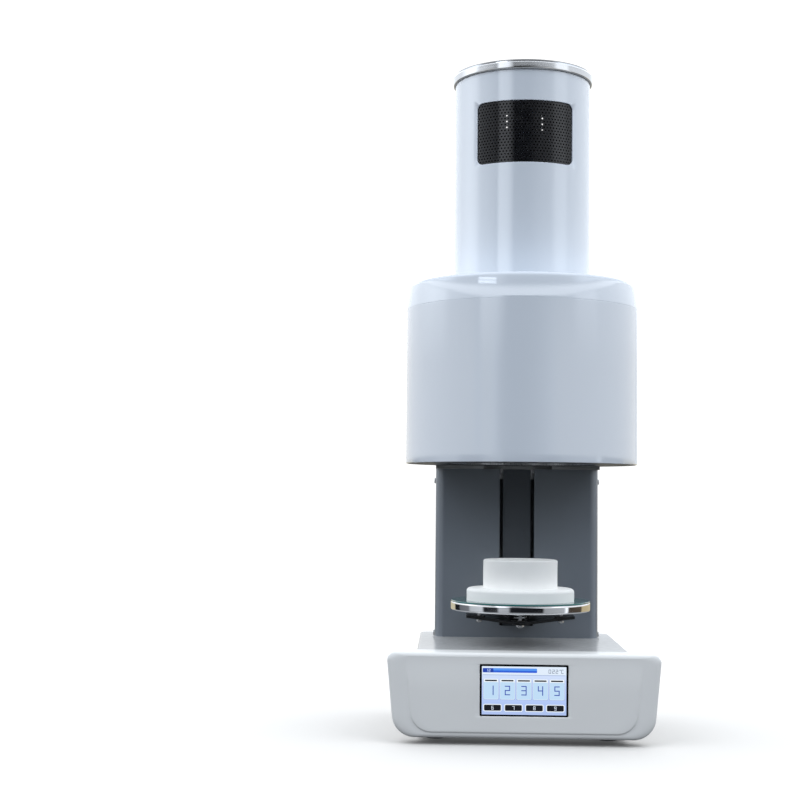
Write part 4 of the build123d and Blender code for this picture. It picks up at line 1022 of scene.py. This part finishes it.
def build_world():
    w = bpy.data.worlds.new("studio")
    bpy.context.scene.world = w
    w.use_nodes = True
    nt = w.node_tree
    nt.nodes.clear()

    def node(kind, **kw):
        n = nt.nodes.new(kind)
        for k, v in kw.items():
            setattr(n, k, v)
        return n

    def math_(op, a, b=None, c=None):
        n = node("ShaderNodeMath", operation=op)
        for i, v in enumerate((a, b, c)):
            if v is None:
                continue
            if isinstance(v, (int, float)):
                n.inputs[i].default_value = v
            else:
                nt.links.new(v, n.inputs[i])
        return n.outputs[0]

    def ramp(fac, stops, interp="LINEAR"):
        r = node("ShaderNodeValToRGB")
        r.color_ramp.interpolation = interp
        els = r.color_ramp.elements
        while len(els) > 1:
            els.remove(els[-1])
        els[0].position = stops[0][0]
        els[0].color = tuple(stops[0][1]) + (1,)
        for pos, col in stops[1:]:
            e = els.new(pos)
            e.color = tuple(col) + (1,)
        nt.links.new(fac, r.inputs["Fac"])
        return r.outputs["Color"]

    def mixc(fac, a, b, mode="MIX"):
        n = node("ShaderNodeMix", data_type="RGBA", blend_type=mode)
        n.clamp_factor = True
        ins = [i for i in n.inputs if i.enabled]
        if isinstance(fac, (int, float)):
            ins[0].default_value = fac
        else:
            nt.links.new(fac, ins[0])
        for s, v in ((ins[1], a), (ins[2], b)):
            if isinstance(v, tuple):
                s.default_value = tuple(v) + (1,)
            else:
                nt.links.new(v, s)
        return [o for o in n.outputs if o.enabled][0]

    tc = node("ShaderNodeTexCoord")
    sep = node("ShaderNodeSeparateXYZ")
    nt.links.new(tc.outputs["Generated"], sep.inputs[0])
    x, y, z = sep.outputs
    az = math_("ARCTAN2", x, math_("MULTIPLY", y, -1.0))            # 0 at the operator's side, + towards +X
    azn = math_("ADD", math_("DIVIDE", az, 2 * math.pi), 0.5)
    el = math_("ARCSINE", z)
    eln = math_("ADD", math_("DIVIDE", el, math.pi), 0.5)

    def A(deg):
        return deg / 360.0 + 0.5

    def E(deg):
        return deg / 180.0 + 0.5

    g = lambda v, t=(0.95, 1.0, 1.06): (v * t[0], v * t[1], v * t[2])
    # soft light: dim from the operator's side, brighter from the sides and back
    side = ramp(azn, [(A(-180), g(2.0)), (A(-120), g(4.3)), (A(-80), g(4.3)), (A(-50), g(2.0)), (A(-25), g(0.50)), (A(0), g(0.29)), (A(25), g(0.52)),
                      (A(50), g(1.6)), (A(80), g(3.4)), (A(120), g(3.4)), (A(180), g(2.0))], "B_SPLINE")
    up = ramp(eln, [(E(-90), g(0.05)), (E(-20), g(0.06)), (E(-4), g(0.12)), (E(3), g(0.26)), (E(10), g(0.72)), (E(20), g(1.55)), (E(32), g(2.1)), (E(44), g(1.8)), (E(60), g(1.0)), (E(90), g(0.6))])
    diff = mixc(1.0, side, up, "MULTIPLY")
    top = ramp(eln, [(E(0), (0, 0, 0)), (E(36), (0, 0, 0)), (E(58), g(1.0)), (E(90), g(1.0))])
    # reflections: tall softboxes with dark gaps between them
    dk, md = (0.012, 0.013, 0.016), (0.16, 0.17, 0.19)
    bands = ramp(azn, [(A(-180), (0.62, 0.55, 0.38)), (A(-140), (0.70, 0.64, 0.46)), (A(-137), dk), (A(-123), dk), (A(-120), md), (A(-97), (0.22, 0.23, 0.25)),
                       (A(-92), g(0.62)), (A(-68), g(0.72)), (A(-64), dk), (A(-41), (0.04, 0.042, 0.048)), (A(-37), g(0.55)), (A(-22), g(0.50)), (A(-18), dk), (A(34), dk),
                       (A(38), g(0.42)), (A(74), g(0.52)), (A(78), g(1.4)), (A(81), g(1.4)), (A(84), (0.07, 0.055, 0.045)), (A(116), (0.10, 0.08, 0.06)), (A(120), (0.60, 0.50, 0.30)), (A(180), (0.62, 0.55, 0.38))])
    hi = ramp(azn, [(A(-180), g(1.3)), (A(-125), g(1.5)), (A(-104), g(2.4)), (A(-88), g(2.4)), (A(-78), g(1.3)), (A(-52), g(0.8)), (A(-46), g(0.6)), (A(-41), g(2.2)), (A(-26), g(1.9)), (A(-20), g(0.9)), (A(-16), g(0.10)),
                    (A(8), g(0.12)), (A(25), g(0.5)), (A(48), g(0.9)), (A(56), g(1.9)), (A(74), g(2.0)), (A(80), g(1.3)), (A(120), g(1.4)), (A(180), g(1.3))])
    f = math_("SMOOTH_MIN", 1.0, math_("MAXIMUM", 0.0, math_("DIVIDE", math_("SUBTRACT", el, math.radians(5.0)), math.radians(4.0))), 0.1)
    mid = ramp(azn, [(A(-180), g(1.0)), (A(-150), g(1.8)), (A(-125), g(3.6)), (A(-100), g(4.2)), (A(-80), g(3.6)), (A(-60), g(1.4)), (A(-45), g(0.7)), (A(-40), g(1.1)), (A(-29), g(1.0)), (A(-23), g(0.25)), (A(-14), g(0.05)),
                     (A(5), g(0.12)), (A(25), g(0.7)), (A(45), g(1.6)), (A(75), g(2.5)), (A(115), g(2.5)), (A(150), g(0.6)), (A(180), g(1.0))], "B_SPLINE")
    fm_ = math_("MINIMUM", 1.0, math_("MAXIMUM", 0.0, math_("DIVIDE", math_("ADD", el, math.radians(1.6)), math.radians(1.8))))
    gl = mixc(f, mixc(fm_, bands, mid), hi)
    gtop = ramp(eln, [(E(0), (0, 0, 0)), (E(14), (0, 0, 0)), (E(16.6), g(0.2)), (E(17.6), g(2.6)), (E(19.4), g(2.7)), (E(20.8), g(0.8)), (E(22.4), g(0.1)), (E(26), g(0.1)), (E(29), g(0.5)),
                      (E(66), g(0.5)), (E(74), g(0.3)), (E(90), g(0.3))])
    dim = ramp(eln, [(E(0), (1, 1, 1)), (E(16.6), (1, 1, 1)), (E(18), (0.45, 0.45, 0.45)), (E(90), (0.3, 0.3, 0.3))])
    gl = mixc(1.0, mixc(1.0, gl, dim, "MULTIPLY"), gtop, "LIGHTEN")
    wing_el = ramp(eln, [(E(0), (0, 0, 0)), (E(20.0), (0, 0, 0)), (E(21.5), g(1.0)), (E(26), g(1.0)), (E(29), (0, 0, 0)), (E(90), (0, 0, 0))])
    wing_az = ramp(azn, [(A(-180), g(0.9)), (A(-112), g(1.8)), (A(-88), g(2.4)), (A(-68), (0, 0, 0)), (A(45), (0, 0, 0)), (A(64), g(2.0)), (A(90), g(1.8)), (A(180), g(0.9))])
    gl = mixc(1.0, gl, mixc(1.0, wing_el, wing_az, "MULTIPLY"), "LIGHTEN")
    lamp_el = ramp(eln, [(E(0), (0, 0, 0)), (E(21.0), (0, 0, 0)), (E(21.4), g(1.0)), (E(22.6), g(1.0)), (E(23.2), g(0.35)), (E(23.8), g(1.0)), (E(24.6), g(1.0)), (E(25.0), (0, 0, 0)), (E(90), (0, 0, 0))])
    lamp_az = ramp(azn, [(A(-180), (0, 0, 0)), (A(-48.5), (0, 0, 0)), (A(-47.5), g(5.0)), (A(-29.5), g(5.0)), (A(-28.5), (0, 0, 0)), (A(180), (0, 0, 0))])
    gl = mixc(1.0, gl, mixc(1.0, lamp_el, lamp_az, "MULTIPLY"), "LIGHTEN")
    low = ramp(eln, [(E(-90), (1, 1, 1)), (E(-16), (1, 1, 1)), (E(-11), (0, 0, 0)), (E(90), (0, 0, 0))])
    gl = mixc(low, gl, g(0.42))

    bg_cam = node("ShaderNodeBackground")
    bg_cam.inputs["Color"].default_value = (1, 1, 1, 1)
    bg_cam.inputs["Strength"].default_value = 1.15
    bg_d = node("ShaderNodeBackground")
    nt.links.new(diff, bg_d.inputs["Color"])
    bg_d.inputs["Strength"].default_value = 1.14
    bg_t = node("ShaderNodeBackground")
    nt.links.new(top, bg_t.inputs["Color"])
    bg_t.inputs["Strength"].default_value = 0.6
    add = node("ShaderNodeAddShader")
    nt.links.new(bg_d.outputs[0], add.inputs[0])
    nt.links.new(bg_t.outputs[0], add.inputs[1])
    bg_g = node("ShaderNodeBackground")
    nt.links.new(gl, bg_g.inputs["Color"])
    bg_g.inputs["Strength"].default_value = 1.0
    lp = node("ShaderNodeLightPath")
    m1 = node("ShaderNodeMixShader")
    nt.links.new(lp.outputs["Is Glossy Ray"], m1.inputs[0])
    nt.links.new(add.outputs[0], m1.inputs[1])
    nt.links.new(bg_g.outputs[0], m1.inputs[2])
    m2 = node("ShaderNodeMixShader")
    nt.links.new(lp.outputs["Is Camera Ray"], m2.inputs[0])
    nt.links.new(m1.outputs[0], m2.inputs[1])
    nt.links.new(bg_cam.outputs[0], m2.inputs[2])
    out = node("ShaderNodeOutputWorld")
    nt.links.new(m2.outputs[0], out.inputs[0])
    w.cycles.sampling_method = "MANUAL"
    w.cycles.sample_map_resolution = 1024


build_world()

cam = bpy.data.cameras.new("camera")
co = bpy.data.objects.new("camera", cam)
bpy.context.scene.collection.objects.link(co)
yaw, pitch, roll = math.radians(-1.833), math.radians(3.586), math.radians(0.567)
fwd = Vector((math.sin(yaw) * math.cos(pitch), math.cos(yaw) * math.cos(pitch), math.sin(pitch)))
right = Vector((math.cos(yaw), -math.sin(yaw), 0))
upv = right.cross(fwd)
r2 = right * math.cos(roll) + upv * math.sin(roll)
u2 = -right * math.sin(roll) + upv * math.cos(roll)
rot = Matrix((r2, u2, -fwd)).transposed().to_4x4()
rot.translation = Vector((-0.08828, -1.84326, 0.28207))
co.matrix_world = rot
cam.sensor_width = 36.0
cam.lens = 1504.731 / 800.0 * 36.0
cam.clip_start, cam.clip_end = 0.05, 100
bpy.context.scene.camera = co
sc = bpy.context.scene
sc.view_settings.view_transform = "Standard"
sc.view_settings.look = "None"
sc.view_settings.exposure = 0.0
sc.view_settings.gamma = 1.0
